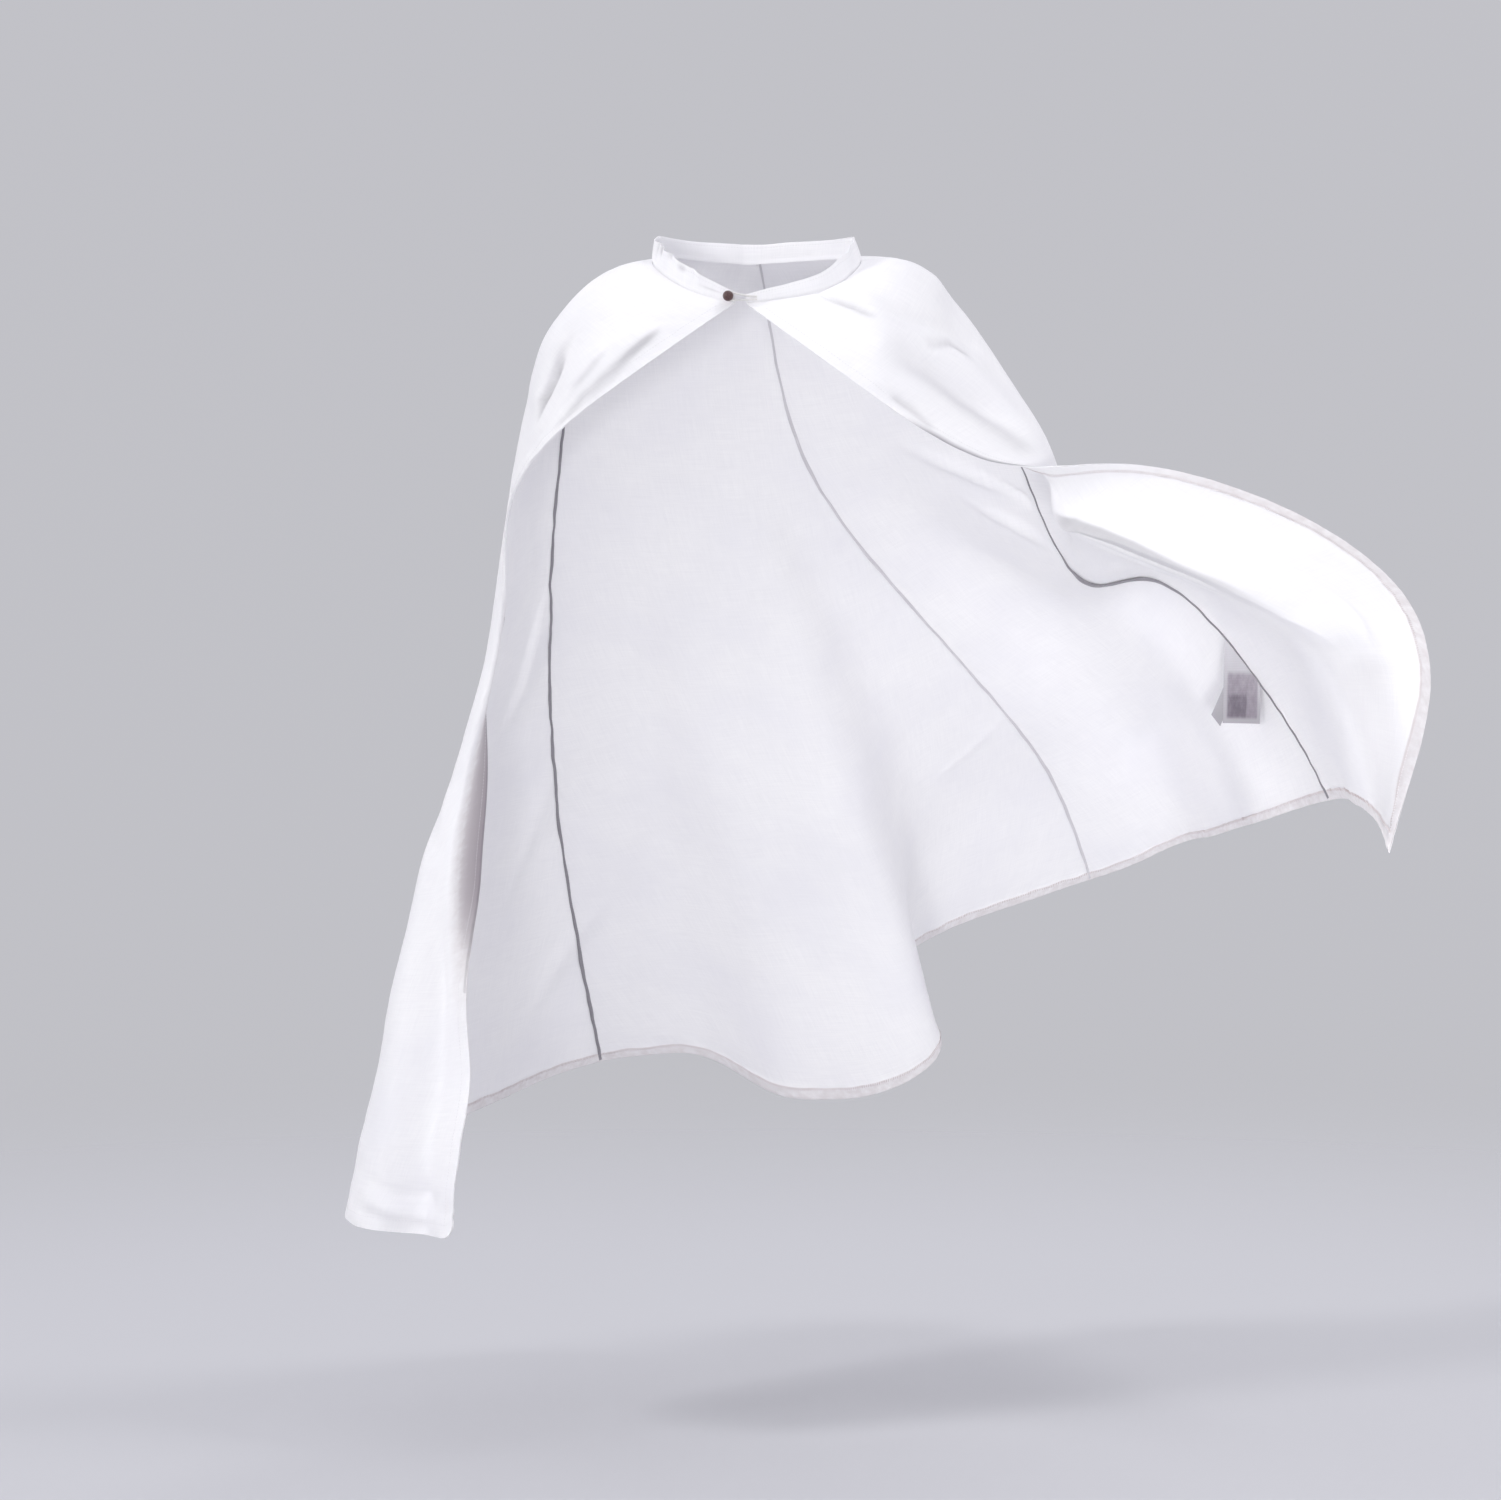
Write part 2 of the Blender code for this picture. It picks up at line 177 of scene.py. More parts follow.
FOLDS = (
    Fold("right chest roll", 0.7, 0.8, 0.03, 0.27, 24, 7),
    Fold("right chest dip", 1.6, 1.7, 0.04, 0.25, 22, -5),
    Fold("left chest roll", 13.3, 13.4, 0.03, 0.27, 24, 6),
    Fold("left chest dip", 12.6, 12.7, 0.05, 0.26, 24, -5),
    Fold("tail groove", 0.9, 1.1, 0.40, 1.02, 34, -14),
    Fold("right hip flute", 3.0, 3.2, 0.35, 1.02, 60, 12),
    Fold("right back flute", 5.0, 4.8, 0.22, 1.02, 60, 16),
    Fold("right back groove", 5.7, 5.5, 0.25, 1.02, 50, -14),
    Fold("left back flute", 9.7, 9.6, 0.25, 1.02, 60, 16),
    Fold("left back groove", 10.5, 10.4, 0.30, 1.02, 60, -16),
)


@dataclass(frozen=True)
class Crease:
    """One fine crease: its path as (fall line number, fall), and its width and height in millimetres.

    The last two values are the parts of its length over which it comes up and dies away.
    """

    name: str
    path: Path
    width: float
    height: float
    profile: Profile = Profile.SOFT
    rise: float = 0.4
    fade: float = 0.4


CREASES = (
    Crease("right cap fold", ((2.0, 0.11), (1.73, 0.144), (1.5, 0.17), (1.33, 0.194), (1.05, 0.22)),
           34, 12, Profile.STEP, 0.5, 0.2),
    Crease("right cap pinch", ((1.66, 0.145), (1.5, 0.165), (1.36, 0.18), (1.24, 0.197), (1.02, 0.217)),
           6, -15, Profile.SHARP, 0.35, 0.3),
    Crease("right edge fold", ((0.75, 0.06), (0.57, 0.082), (0.5, 0.106), (0.27, 0.138), (0.2, 0.17),
                               (0.3, 0.20)), 28, 6, Profile.STEP, 0.3, 0.3),
    Crease("right chest fold", ((1.0, 0.10), (0.85, 0.125), (0.68, 0.15), (0.57, 0.175), (0.5, 0.195)),
           24, 4, Profile.STEP),
    Crease("right edge dip", ((0.3, 0.20), (0.75, 0.245), (1.5, 0.29)), 12, -5),
    Crease("left neck pinch", ((13.05, -0.02), (12.99, 0.031), (12.95, 0.056), (12.95, 0.09)),
           6, -6, Profile.SHARP),
    Crease("left neck roll", ((12.7, -0.02), (12.68, 0.05), (12.68, 0.10)), 14, 4),
    Crease("left cap line high", ((12.85, 0.09), (12.5, 0.135), (12.0, 0.18), (11.6, 0.20)), 10, -5),
    Crease("left cap line low", ((12.88, 0.152), (12.7, 0.149), (12.4, 0.163), (12.3, 0.176), (12.1, 0.195)),
           8, -6, Profile.SOFT, 0.3, 0.3),
    Crease("left long fold", ((13.3, 0.11), (13.17, 0.135), (13.1, 0.165), (13.08, 0.195), (12.95, 0.23),
                              (12.85, 0.28)), 24, -18, Profile.SOFT, 0.3, 0.3),
    Crease("left long roll", ((12.7, 0.12), (12.6, 0.17), (12.5, 0.21), (12.5, 0.25)), 16, 5),
    Crease("left cap flat", ((11.75, 0.12), (11.85, 0.16), (11.95, 0.21), (12.0, 0.27)),
           50, -14, Profile.SOFT, 0.4, 0.4),
    Crease("left chest line", ((13.87, 0.14), (13.83, 0.16), (13.83, 0.18), (13.88, 0.215)), 8, -7),
    Crease("wing lip", ((12.36, 0.419), (12.99, 0.481), (13.06, 0.53), (13.06, 0.625), (13.02, 0.69),
                        (13.0, 0.735), (13.12, 0.80), (13.2, 0.84)), 30, -17, Profile.SHARP, 0.15, 0.25),
    Crease("wing lip shadow", ((12.3, 0.428), (12.88, 0.487), (12.95, 0.535), (12.95, 0.63), (12.92, 0.69)),
           6, 7, Profile.SHARP, 0.15, 0.3),
    Crease("wing lip groove", ((12.3, 0.42), (12.55, 0.50), (12.58, 0.62), (12.6, 0.74)), 24, 10),
    Crease("wing crease", ((13.53, 0.72), (13.53, 0.775), (13.49, 0.82)), 6, -4, Profile.SHARP),
    Crease("wing curl", ((13.9, 0.80), (13.85, 0.90), (13.8, 0.99)), 18, -6),
    Crease("under cap fold high", ((10.1, 0.30), (10.35, 0.325), (10.6, 0.345), (10.9, 0.36)), 12, -9),
    Crease("under cap groove", ((10.4, 0.325), (10.83, 0.356), (10.94, 0.369)), 7, 9, Profile.SHARP),
    Crease("under cap fold low", ((10.3, 0.36), (10.5, 0.38), (10.7, 0.395), (10.9, 0.42)), 14, -8),
    Crease("back pull", ((8.2, 0.75), (8.6, 0.72), (9.15, 0.67)), 7, -3, Profile.SHARP),
    Crease("wing soft dip", ((9.2, 0.85), (9.9, 0.80), (10.5, 0.76)), 26, 6),
    Crease("right fold strip", ((4.1, 0.40), (3.6, 0.47), (3.1, 0.56)), 30, -10, Profile.STEP),
    Crease("right back pull", ((4.3, 0.55), (3.7, 0.66), (3.3, 0.78)), 18, -5),
    Crease("right back pull low", ((4.5, 0.74), (3.9, 0.83), (3.5, 0.93)), 16, -4),
    Crease("tail hollow", ((0.95, 0.66), (0.9, 0.80), (0.9, 0.92), (0.9, 1.10)),
           42, -26, Profile.SOFT, 0.4, 0.2),
    Crease("tail bend", ((1.9, 0.58), (1.5, 0.64), (1.0, 0.66)), 14, -5),
    Crease("tail foot crease", ((1.7, 0.955), (1.3, 0.967), (0.9, 0.965), (0.45, 0.98)),
           6, -5, Profile.SHARP),
    Crease("tail foot bulge", ((1.8, 0.975), (1.2, 0.985), (0.5, 0.99)), 7, 4),
    Crease("tail foot pull", ((1.5, 0.915), (1.25, 0.94), (1.05, 0.96)), 6, -4, Profile.SHARP),
)


@dataclass(frozen=True)
class PaintedShadeLine:
    """One line of painted shade along a crease: its path as (fall line number, fall).

    The widths are in millimetres, on the side of higher and of lower shares. An amount of 1 is the full
    grey. The parts of its length over which it comes up and dies away follow, and the face it is on.
    """

    name: str
    path: Path
    higher_width: float
    lower_width: float
    amount: float
    rise: float = 0.3
    fade: float = 0.3
    face: Side = Side.OUTSIDE


# Painted shade: grey in the creases of the shoulders and neck, along the turned left front edge, under the
# wing's fold and over the wing's tip.
PAINTED_SHADE_LINES = (
    PaintedShadeLine("right cap crease", ((1.69, 0.131), (1.60, 0.156), (1.42, 0.169), (1.24, 0.181), (1.15, 0.20),
                                    (0.97, 0.213), (0.88, 0.222)), 6.0, 3.5, 0.58, 0.65, 0.35),
    PaintedShadeLine("right cap faint crease", ((0.85, 0.125), (0.68, 0.144), (0.57, 0.163), (0.57, 0.175)),
               6, 6, 0.08),
    PaintedShadeLine("right edge crease", ((0.55, 0.066), (0.45, 0.094), (0.40, 0.113), (0.28, 0.15), (0.23, 0.172),
                                     (0.17, 0.19), (0.15, 0.215)), 5, 4, 0.30, 0.15, 0.15),
    PaintedShadeLine("left cap hollow", ((13.25, 0.12), (13.24, 0.137), (13.17, 0.162), (13.19, 0.194),
                                   (13.18, 0.228), (13.13, 0.269), (13.1, 0.29)), 22, 20, 0.21, 0.35, 0.2),
    PaintedShadeLine("left cap crease", ((12.85, 0.15), (12.71, 0.15), (12.39, 0.163), (12.32, 0.175),
                                   (12.18, 0.188)), 6, 6, 0.24, 0.45, 0.3),
    PaintedShadeLine("left chest crease", ((13.86, 0.15), (13.82, 0.16), (13.82, 0.175), (13.89, 0.20),
                                     (13.89, 0.213)), 5, 5, 0.26),
    PaintedShadeLine("left neck crease", ((13.05, 0.0), (12.99, 0.031), (12.95, 0.056), (12.95, 0.075),
                                    (12.9, 0.09)), 5, 5, 0.28),
    PaintedShadeLine("left edge turn", ((14.0, 0.17), (14.0, 0.20), (14.0, 0.24), (14.0, 0.28), (14.0, 0.32),
                                  (14.0, 0.36)), 5, 5, 0.8),
    PaintedShadeLine("wing fold", ((12.85, 0.419), (13.06, 0.463), (13.1, 0.50), (13.1, 0.544), (13.06, 0.60),
                             (13.06, 0.65), (13.02, 0.70), (12.99, 0.75), (13.1, 0.794)),
               3, 19, 0.52, 0.1, 0.7, Side.INSIDE),
    PaintedShadeLine("wing tip", ((13.46, 0.756), (13.31, 0.82), (13.30, 0.86), (13.40, 0.90), (13.57, 0.94),
                            (13.64, 0.97), (13.6, 1.0)), 50, 60, 0.4, 0.3, 0.05, Side.INSIDE),
)


@dataclass(frozen=True)
class CollarSection:
    """The collar at one bearing: how high it stands and how far its rim leans out, in millimetres."""

    bearing: float
    height: float
    lean: float


COLLAR_SECTIONS = (
    CollarSection(12, 12, -1),
    CollarSection(40, 25, -5),
    CollarSection(70, 28, -4),
    CollarSection(92, 27, -4),
    CollarSection(130, 22, 2),
    CollarSection(180, 22, 6),
    CollarSection(230, 22, 2),
    CollarSection(268, 27, -9),
    CollarSection(290, 27, -8),
    CollarSection(320, 22, -6),
    CollarSection(366, 11, -2),
)


@dataclass(frozen=True)
class CollarPinch:
    """One pinch of the collar: its bearing and width in degrees, and its depth outwards in millimetres."""

    bearing: float
    width: float
    depth: float


COLLAR_PINCHES = (
    CollarPinch(24, 3, -1.6),
    CollarPinch(33, 4, 2.2),
    CollarPinch(39, 2, -3.6),
    CollarPinch(50, 4, 2.4),
    CollarPinch(60, 2.5, -3.6),
    CollarPinch(66, 3, 2.2),
    CollarPinch(71, 2.5, -3.2),
    CollarPinch(78, 2.5, -4.0),
    CollarPinch(84, 4, 2.0),
    CollarPinch(100, 9, -2.2),
    CollarPinch(143, 12, 2.0),
    CollarPinch(205, 12, -2.2),
    CollarPinch(252, 8, 2.4),
    CollarPinch(286, 4, -2.4),
    CollarPinch(296, 4, 2.6),
    CollarPinch(305, 4, -2.2),
    CollarPinch(322, 5, 2.0),
    CollarPinch(338, 5, -1.8),
)


@dataclass(frozen=True)
class CollarShadeSpot:
    """One spot of painted shade in the collar's crumples: its bearing and width in degrees, and its rise and
    height.

    Rises and heights are parts of the collar's height, and an amount of 1 is the full grey.
    """

    bearing: float
    rise: float
    width: float
    height: float
    amount: float


# Painted shade: the shadows of small crumples at the collar's pinches.
COLLAR_SHADE_SPOTS = (
    CollarShadeSpot(26, 0.45, 6.0, 0.06, 0.28),
    CollarShadeSpot(46.5, 0.78, 2.8, 0.12, 0.38),
    CollarShadeSpot(60, 0.95, 2.0, 0.15, 0.35),
    CollarShadeSpot(71, 0.85, 2.5, 0.22, 0.55),
    CollarShadeSpot(78, 0.80, 2.0, 0.30, 0.25),
)


class NaturalSpline:
    """The natural cubic spline through values at knots, which run along the first axis of the values."""

    def __init__(self, knots: Sequence[float], values: Array) -> None:
        """Work out the spline's bends.

        Args:
            knots: the places of the values, rising.
            values: one value, or array of values, for each knot.
        """
        self.knots = np.asarray(knots, float)
        self.values = np.asarray(values, float)
        count = len(self.knots)
        step = np.diff(self.knots)
        slope = np.diff(self.values, axis=0) / step.reshape((-1,) + (1,) * (self.values.ndim - 1))
        system = np.eye(count)
        right = np.zeros_like(self.values)
        for i in range(1, count - 1):
            system[i, i - 1:i + 2] = step[i - 1], 2.0 * (step[i - 1] + step[i]), step[i]
            right[i] = 6.0 * (slope[i] - slope[i - 1])
        self.bend = np.linalg.solve(system, right.reshape(count, -1)).reshape(self.values.shape)

    def _mix(self, places: Array, pick: Callable[[Array, Array], Array], extra: int) -> Array:
        """Blend the values next to each place.

        Args:
            places: where the spline is taken.
            pick: gives an array's entries for knot numbers.
            extra: how many axes a value has.

        Returns:
            The spline's values at the places.
        """
        k = np.clip(np.searchsorted(self.knots, places, side="right") - 1, 0, len(self.knots) - 2)
        shape = places.shape + (1,) * extra
        h = (self.knots[k + 1] - self.knots[k]).reshape(shape)
        a = (self.knots[k + 1] - places).reshape(shape) / h
        b = 1.0 - a
        bends = (a ** 3 - a) * pick(self.bend, k) + (b ** 3 - b) * pick(self.bend, k + 1)
        return a * pick(self.values, k) + b * pick(self.values, k + 1) + bends * h * h / 6.0

    def at(self, places: Sequence[float] | Array) -> Array:
        """Take the spline at places.

        Args:
            places: an array of places.

        Returns:
            One value for each place, with the values' own axes last.
        """
        return self._mix(np.asarray(places, float), lambda a, k: a[k], self.values.ndim - 1)

    def at_rows(self, places: Array) -> Array:
        """Take many splines at once, one for each row of places.

        Args:
            places: rows by columns, where the values are knots by rows by coordinates.

        Returns:
            Rows by columns by coordinates.
        """
        row = np.arange(places.shape[0])[:, None]
        return self._mix(places, lambda a, k: a[k, row], 1)


@dataclass(frozen=True)
class WaveField:
    """A smooth random field of sine waves, always the same for one seed.

    The wave lengths are in metres and the height is the field's rough reach.
    """

    seed: int
    shortest: float
    longest: float
    height: float
    waves: int = 9

    def at(self, points: Array) -> Array:
        """Take the field at points.

        Args:
            points: an array of points, coordinates last.

        Returns:
            The field's height at each point.
        """
        rng = np.random.default_rng(self.seed)
        total = np.zeros(points.shape[:-1])
        for _ in range(self.waves):
            way = rng.normal(size=points.shape[-1])
            way /= np.linalg.norm(way)
            length = self.shortest * (self.longest / self.shortest) ** rng.random()
            total += np.sin(points @ way * (2.0 * math.pi / length) + rng.random() * 2.0 * math.pi)
        return total * (self.height / math.sqrt(self.waves))


def smooth(x: Array) -> Array:
    """Return 0 below 0, 1 above 1 and a smooth step between."""
    x = np.clip(x, 0.0, 1.0)
    return x * x * (3.0 - 2.0 * x)


def unit(v: Array) -> Array:
    """Return the vectors at length 1."""
    return v / np.maximum(np.linalg.norm(v, axis=-1, keepdims=True), 1e-12)


def run_along(points: Array) -> Array:
    """Return how far along a line of points each of them lies."""
    return np.concatenate([[0.0], np.cumsum(np.linalg.norm(np.diff(points, axis=0), axis=1))])


def outward(bearing: float | Array) -> Array:
    """Return the level directions that point out from the neck at bearings in degrees."""
    angle = np.radians(np.asarray(bearing, float))
    return np.stack([-np.sin(angle), -np.cos(angle), np.zeros_like(angle)], axis=-1)


def grid_normals(points: Array) -> Array:
    """Return the normals of a grid of points, column direction crossed with row direction."""
    return unit(np.cross(np.gradient(points, axis=1), np.gradient(points, axis=0)))


@dataclass
class CapeForm:
    """The cape's cloth as one surface: the smooth form, its folds, and the finer shapes of worn cotton.

    A field named for a fall says where a shape starts, and one named over, in how many falls it comes up.
    """

    neck_half_width: float = 130.0 * MM
    neck_half_depth: float = 84.0 * MM
    neck_front_z: float = -44.0 * MM
    neck_side_z: float = 10.0 * MM
    neck_back_z: float = 10.0 * MM
    seam_dip: float = 1.1 * MM
    seam_dip_width: float = 3.4 * MM
    pucker: float = 0.55 * MM
    pucker_reach: float = 15.0 * MM
    roll_width: float = 24.0 * MM
    roll_depth: float = 46.0 * MM
    roll_reach: float = 15.0 * MM
    roll_fall: float = 0.38
    roll_over: float = 0.13
    unroll_fall: float = 0.86
    unroll_over: float = 0.17
    roll_narrows: float = 0.75
    kick: float = 13.0 * MM
    kick_reach: float = 52.0 * MM
    kick_fall: float = 0.875
    kick_over: float = 0.052
    corner: float = 16.0 * MM
    corner_fall: float = 0.965
    corner_over: float = 0.035
    loose_fall: float = 0.10
    loose_over: float = 0.25
    taut_swell: float = 0.25
    loose_crumple: float = 0.10
    foot_crumple: float = 0.9
    foot_fall: float = 0.86
    foot_over: float = 0.12
    foot_line: float = 2.4
    foot_reach: float = 0.06
    hem_gather: float = 1.3
    swell: WaveField = WaveField(SEED, 0.10, 0.32, 1.6 * MM)
    crumple: WaveField = WaveField(SEED + 1, 0.030, 0.075, 1.7 * MM)
    gather: WaveField = WaveField(SEED + 2, 0.018, 0.034, 1.0, 5)
    form_step: float = 0.001
    spot_step: float = 0.002
    edge_step: float = 0.004
    net: Array = field(init=False)
    shares: Array = field(init=False)
    falling: NaturalSpline = field(init=False)

    def __post_init__(self) -> None:
        """Set up the net of fall lines and their shares of the width."""
        rows = []
        for line in FALL_LINES:
            places = (line.shoulder, line.arm, line.waist, line.hip, line.knee, line.hem)
            rows.append(np.vstack([self.neck_ring(line.bearing), np.array(places, float) * MM]))
        self.net = np.array(rows).transpose(1, 0, 2)
        apart = np.linalg.norm(np.diff(self.net[2:], axis=1), axis=2).mean(axis=0)
        total = np.concatenate([[0.0], np.cumsum(np.sqrt(apart))])
        self.shares = total / total[-1]
        self.falling = NaturalSpline(STATIONS, self.net)

    def neck_ring(self, bearing: float | Array) -> Array:
        """Take points of the neck seam.

        Args:
            bearing: bearings in degrees: 0 front, 90 the wearer's right, 180 back.

        Returns:
            The points, with (x, y, z) last.
        """
        angle = np.radians(np.asarray(bearing, float))
        swing = 0.5 * (self.neck_front_z - self.neck_back_z)
        mean = 0.25 * (self.neck_front_z + self.neck_back_z) + 0.5 * self.neck_side_z
        dip = 0.25 * (self.neck_front_z + self.neck_back_z) - 0.5 * self.neck_side_z
        return np.stack([-self.neck_half_width * np.sin(angle), -self.neck_half_depth * np.cos(angle),
                         mean + swing * np.cos(angle) + dip * np.cos(2.0 * angle)], axis=-1)

    def share_of(self, line: float | Array) -> Array:
        """Return the share at a fall line's number, which may lie between two lines."""
        return np.interp(line, np.arange(len(self.shares)), self.shares)

    def plain(self, falls: Array, shares: Array) -> Array:
        """Take the smooth form without its folds.

        Args:
            falls: one fall for each row.
            shares: rows by columns.

        Returns:
            Points, rows by columns by (x, y, z).
        """
        rows = self.falling.at(falls).transpose(1, 0, 2)
        return NaturalSpline(self.shares, rows).at_rows(shares)

    def _folds(self, falls: Array, shares: Array, stretch: Array) -> Array:
        """Take the soft folds.

        Args:
            falls: one fall for each row.
            shares: rows by columns.
            stretch: metres across for each share.

        Returns:
            How far the folds raise the cloth.
        """
        height = np.zeros_like(shares)
        for fold in FOLDS:
            along = (falls - fold.start) / (fold.end - fold.start)
            reach = np.clip(np.minimum(along, 0.5) if fold.end > 1.0 else along, 0.0, 1.0)
            fade = np.where((along > 0.0) & (along < 1.0), np.sin(math.pi * reach) ** 2, 0.0)
            centre = self.share_of(fold.top + (fold.foot - fold.top) * along)
            apart = (shares - centre[:, None]) * stretch / (fold.width * MM)
            height += fold.height * MM * fade[:, None] * np.exp(-apart ** 2)
        return height

    def _ways(self, falls: Array, shares: Array) -> tuple[Array, Array]:
        """Measure how the smooth form runs.

        Args:
            falls: one fall for each row.
            shares: rows by columns.

        Returns:
            How far it goes across for each share, and down for each fall, as vectors.
        """
        step = self.form_step
        before, after = np.maximum(falls - step, 0.0), np.minimum(falls + step, 1.0)
        across = (self.plain(falls, shares + step) - self.plain(falls, shares - step)) / (2.0 * step)
        down = (self.plain(after, shares) - self.plain(before, shares)) / (after - before)[:, None, None]
        return across, down

    def _near(self, path: Path, falls: Array, shares: Array, stretch: Array,
              drop: Array) -> tuple[Array, Array, Array]:
        """Find how the places of the cloth lie to a path.

        Args:
            path: the path's corners as (fall line number, fall).
            falls: one fall for each row.
            shares: rows by columns.
            stretch: metres across for each share.
            drop: metres down for each fall.

        Returns:
            The real distance, the part of the path passed there, and whether it is the lower shares' side.
        """
        nearest = np.full_like(shares, np.inf)
        along = np.zeros_like(shares)
        lower = np.zeros(shares.shape, bool)
        steps = list(zip(path[:-1], path[1:]))
        for number, ((line, fall), (next_line, next_fall)) in enumerate(steps):
            du = (self.share_of(next_line) - self.share_of(line)) * stretch
            dv = (next_fall - fall) * drop
            pu = (shares - self.share_of(line)) * stretch
            pv = (falls[:, None] - fall) * drop
            k = np.clip((pu * du + pv * dv) / (du * du + dv * dv), 0.0, 1.0)
            ru, rv = pu - k * du, pv - k * dv
            distance = np.hypot(ru, rv)
            closer = distance < nearest
            along = np.where(closer, (number + k) / len(steps), along)
            lower = np.where(closer, dv * ru < du * rv, lower)
            nearest = np.minimum(nearest, distance)
        return nearest, along, lower

    def painted_shade(self, falls: Array, shares: Array, face: Side) -> Array:
        """Take the painted shade of one face of the cloth along its creases.

        Args:
            falls: one fall for each row.
            shares: rows by columns.
            face: the face that is asked for.

        Returns:
            The painted shade at each place, from 0 to 1.
        """
        across, down = self._ways(falls, shares)
        stretch, drop = np.linalg.norm(across, axis=2), np.linalg.norm(down, axis=2)
        grey = np.zeros_like(shares)
        for line in [row for row in PAINTED_SHADE_LINES if row.face is face]:
            nearest, along, lower = self._near(line.path, falls, shares, stretch, drop)
            width = MM * np.where(lower, line.lower_width, line.higher_width)
            fade = smooth(along / line.rise) * smooth((1.0 - along) / line.fade)
            grey = np.maximum(grey, line.amount * fade * np.exp(-(nearest / width) ** 2))
        return grey

    def _creases(self, falls: Array, shares: Array, stretch: Array, drop: Array) -> Array:
        """Take the fine creases by the real distance to each crease's path.

        Args:
            falls: one fall for each row.
            shares: rows by columns.
            stretch: metres across for each share.
            drop: metres down for each fall.

        Returns:
            How far the creases raise the cloth.
        """
        height = np.zeros_like(shares)
        for crease in CREASES:
            nearest, along, lower = self._near(crease.path, falls, shares, stretch, drop)
            power, drop_off = crease.profile.value
            width = crease.width * MM * np.where(lower, drop_off, 1.0)
            fade = smooth(along / crease.rise) * smooth((1.0 - along) / crease.fade)
            height += crease.height * MM * fade * np.exp(-(nearest / width) ** power)
        return height

    def _wear(self, falls: Array, shares: Array, stretch: Array, points: Array) -> Array:
        """Take the unevenness of worn cloth: swells, the crumpled tail foot, puckered seams and hems.

        Args:
            falls: one fall for each row.
            shares: rows by columns.
            stretch: metres across for each share.
            points: the smooth form's points.

        Returns:
            How far it raises the cloth.
        """
        fall = falls[:, None]
        loose = smooth((fall - self.loose_fall) / self.loose_over)
        height = self.swell.at(points) * (self.taut_swell + (1.0 - self.taut_swell) * loose)
        foot = smooth((fall - self.foot_fall) / self.foot_over)
        foot = foot * smooth((self.share_of(self.foot_line) - shares) / self.foot_reach)
        height += self.crumple.at(points) * (self.loose_crumple * loose + self.foot_crumple * foot)
        gathers = self.gather.at(points) * self.pucker
        for line in (RIGHT_SEAM, BACK_SEAM, LEFT_SEAM):
            apart = np.abs(shares - self.shares[line]) * stretch
            height -= self.seam_dip * np.exp(-(apart / self.seam_dip_width) ** 2)
            height += gathers * np.exp(-(apart / self.pucker_reach) ** 2)
        for apart in ((1.0 - fall) * CUT_LENGTH, shares * stretch, (1.0 - shares) * stretch):
            height += self.hem_gather * gathers * np.exp(-((apart - HEM_WIDTH) / self.pucker_reach) ** 2)
        return height

    def cloth(self, falls: Array, shares: Array) -> Array:
        """Take the finished outer face.

        Args:
            falls: one fall for each row.
            shares: rows by columns.

        Returns:
            Points, rows by columns by (x, y, z).
        """
        across, down = self._ways(falls, shares)
        normal = unit(np.cross(across, down))
        stretch, drop = np.linalg.norm(across, axis=2), np.linalg.norm(down, axis=2)
        points = self.plain(falls, shares)
        lift = self._folds(falls, shares, stretch) + self._creases(falls, shares, stretch, drop)
        lift += self._wear(falls, shares, stretch, points)
        points = points + normal * lift[..., None]
        apart = shares * stretch
        near = np.clip(1.0 - apart / self.roll_width, 0.0, 1.0) * self.rolled(falls)[:, None]
        points -= normal * (self.roll_depth * near ** 2)[..., None]
        low = ((falls[:, None] - self.kick_fall) / self.kick_over) ** 2
        kick = self.kick * np.exp(-low - (apart / self.kick_reach) ** 2)
        points -= unit(across) * (self.roll_reach * near + kick)[..., None]
        inset = np.clip(self.corner - apart, 0.0, self.corner)
        cut = self.corner - np.sqrt(self.corner ** 2 - inset ** 2)
        cut *= np.clip((falls - self.corner_fall) / self.corner_over, 0.0, 1.0)[:, None]
        return points - unit(down) * cut[..., None]

    def rolled(self, falls: Array) -> Array:
        """Return how far the right front edge is rolled in at each fall, from 0 to 1."""
        rolls = smooth((falls - self.roll_fall) / self.roll_over)
        return rolls * smooth((self.unroll_fall - falls) / self.unroll_over)

    def spots(self, falls: Array, shares: Array) -> tuple[Array, Array]:
        """Take single spots of the finished outer face.

        Args:
            falls: the fall of each spot.
            shares: the share of each spot.

        Returns:
            The points, and the true normals there.
        """
        step = self.spot_step
        up, low = np.maximum(falls - step, 0.0), np.minimum(falls + step, 1.0)
        trio = self.cloth(falls, np.stack([shares - step, shares, shares + step], axis=1))
        down = self.cloth(low, shares[:, None])[:, 0] - self.cloth(up, shares[:, None])[:, 0]
        return trio[:, 1], unit(np.cross(trio[:, 2] - trio[:, 0], down))

    def edge_shares(self, falls: Array, distance: float, left: bool) -> Array:
        """Find a line that runs beside a front edge.

        Args:
            falls: the falls of its points.
            distance: how far it is from the edge, in metres.
            left: True for the wearer's left front edge.

        Returns:
            The share at each fall.
        """
        edge, step = (1.0, -self.edge_step) if left else (0.0, self.edge_step)
        ends = self.plain(falls, np.tile([edge, edge + step], (len(falls), 1)))
        stretch = np.linalg.norm(ends[:, 1] - ends[:, 0], axis=1) / abs(step)
        if not left:
            distance = distance * (1.0 - self.roll_narrows * self.rolled(falls))
        return edge + np.sign(step) * distance / stretch


def hex_colour(code: str) -> tuple[float, float, float, float]:
    """Turn an sRGB hex value into the linear colour that a socket takes.

    Args:
        code: a number sign and six hex digits.

    Returns:
        Linear red, green and blue, and 1.
    """
    parts = [int(code[i:i + 2], 16) / 255.0 for i in (1, 3, 5)]
    linear = [c / 12.92 if c <= 0.04045 else ((c + 0.055) / 1.055) ** 2.4 for c in parts]
    return (linear[0], linear[1], linear[2], 1.0)


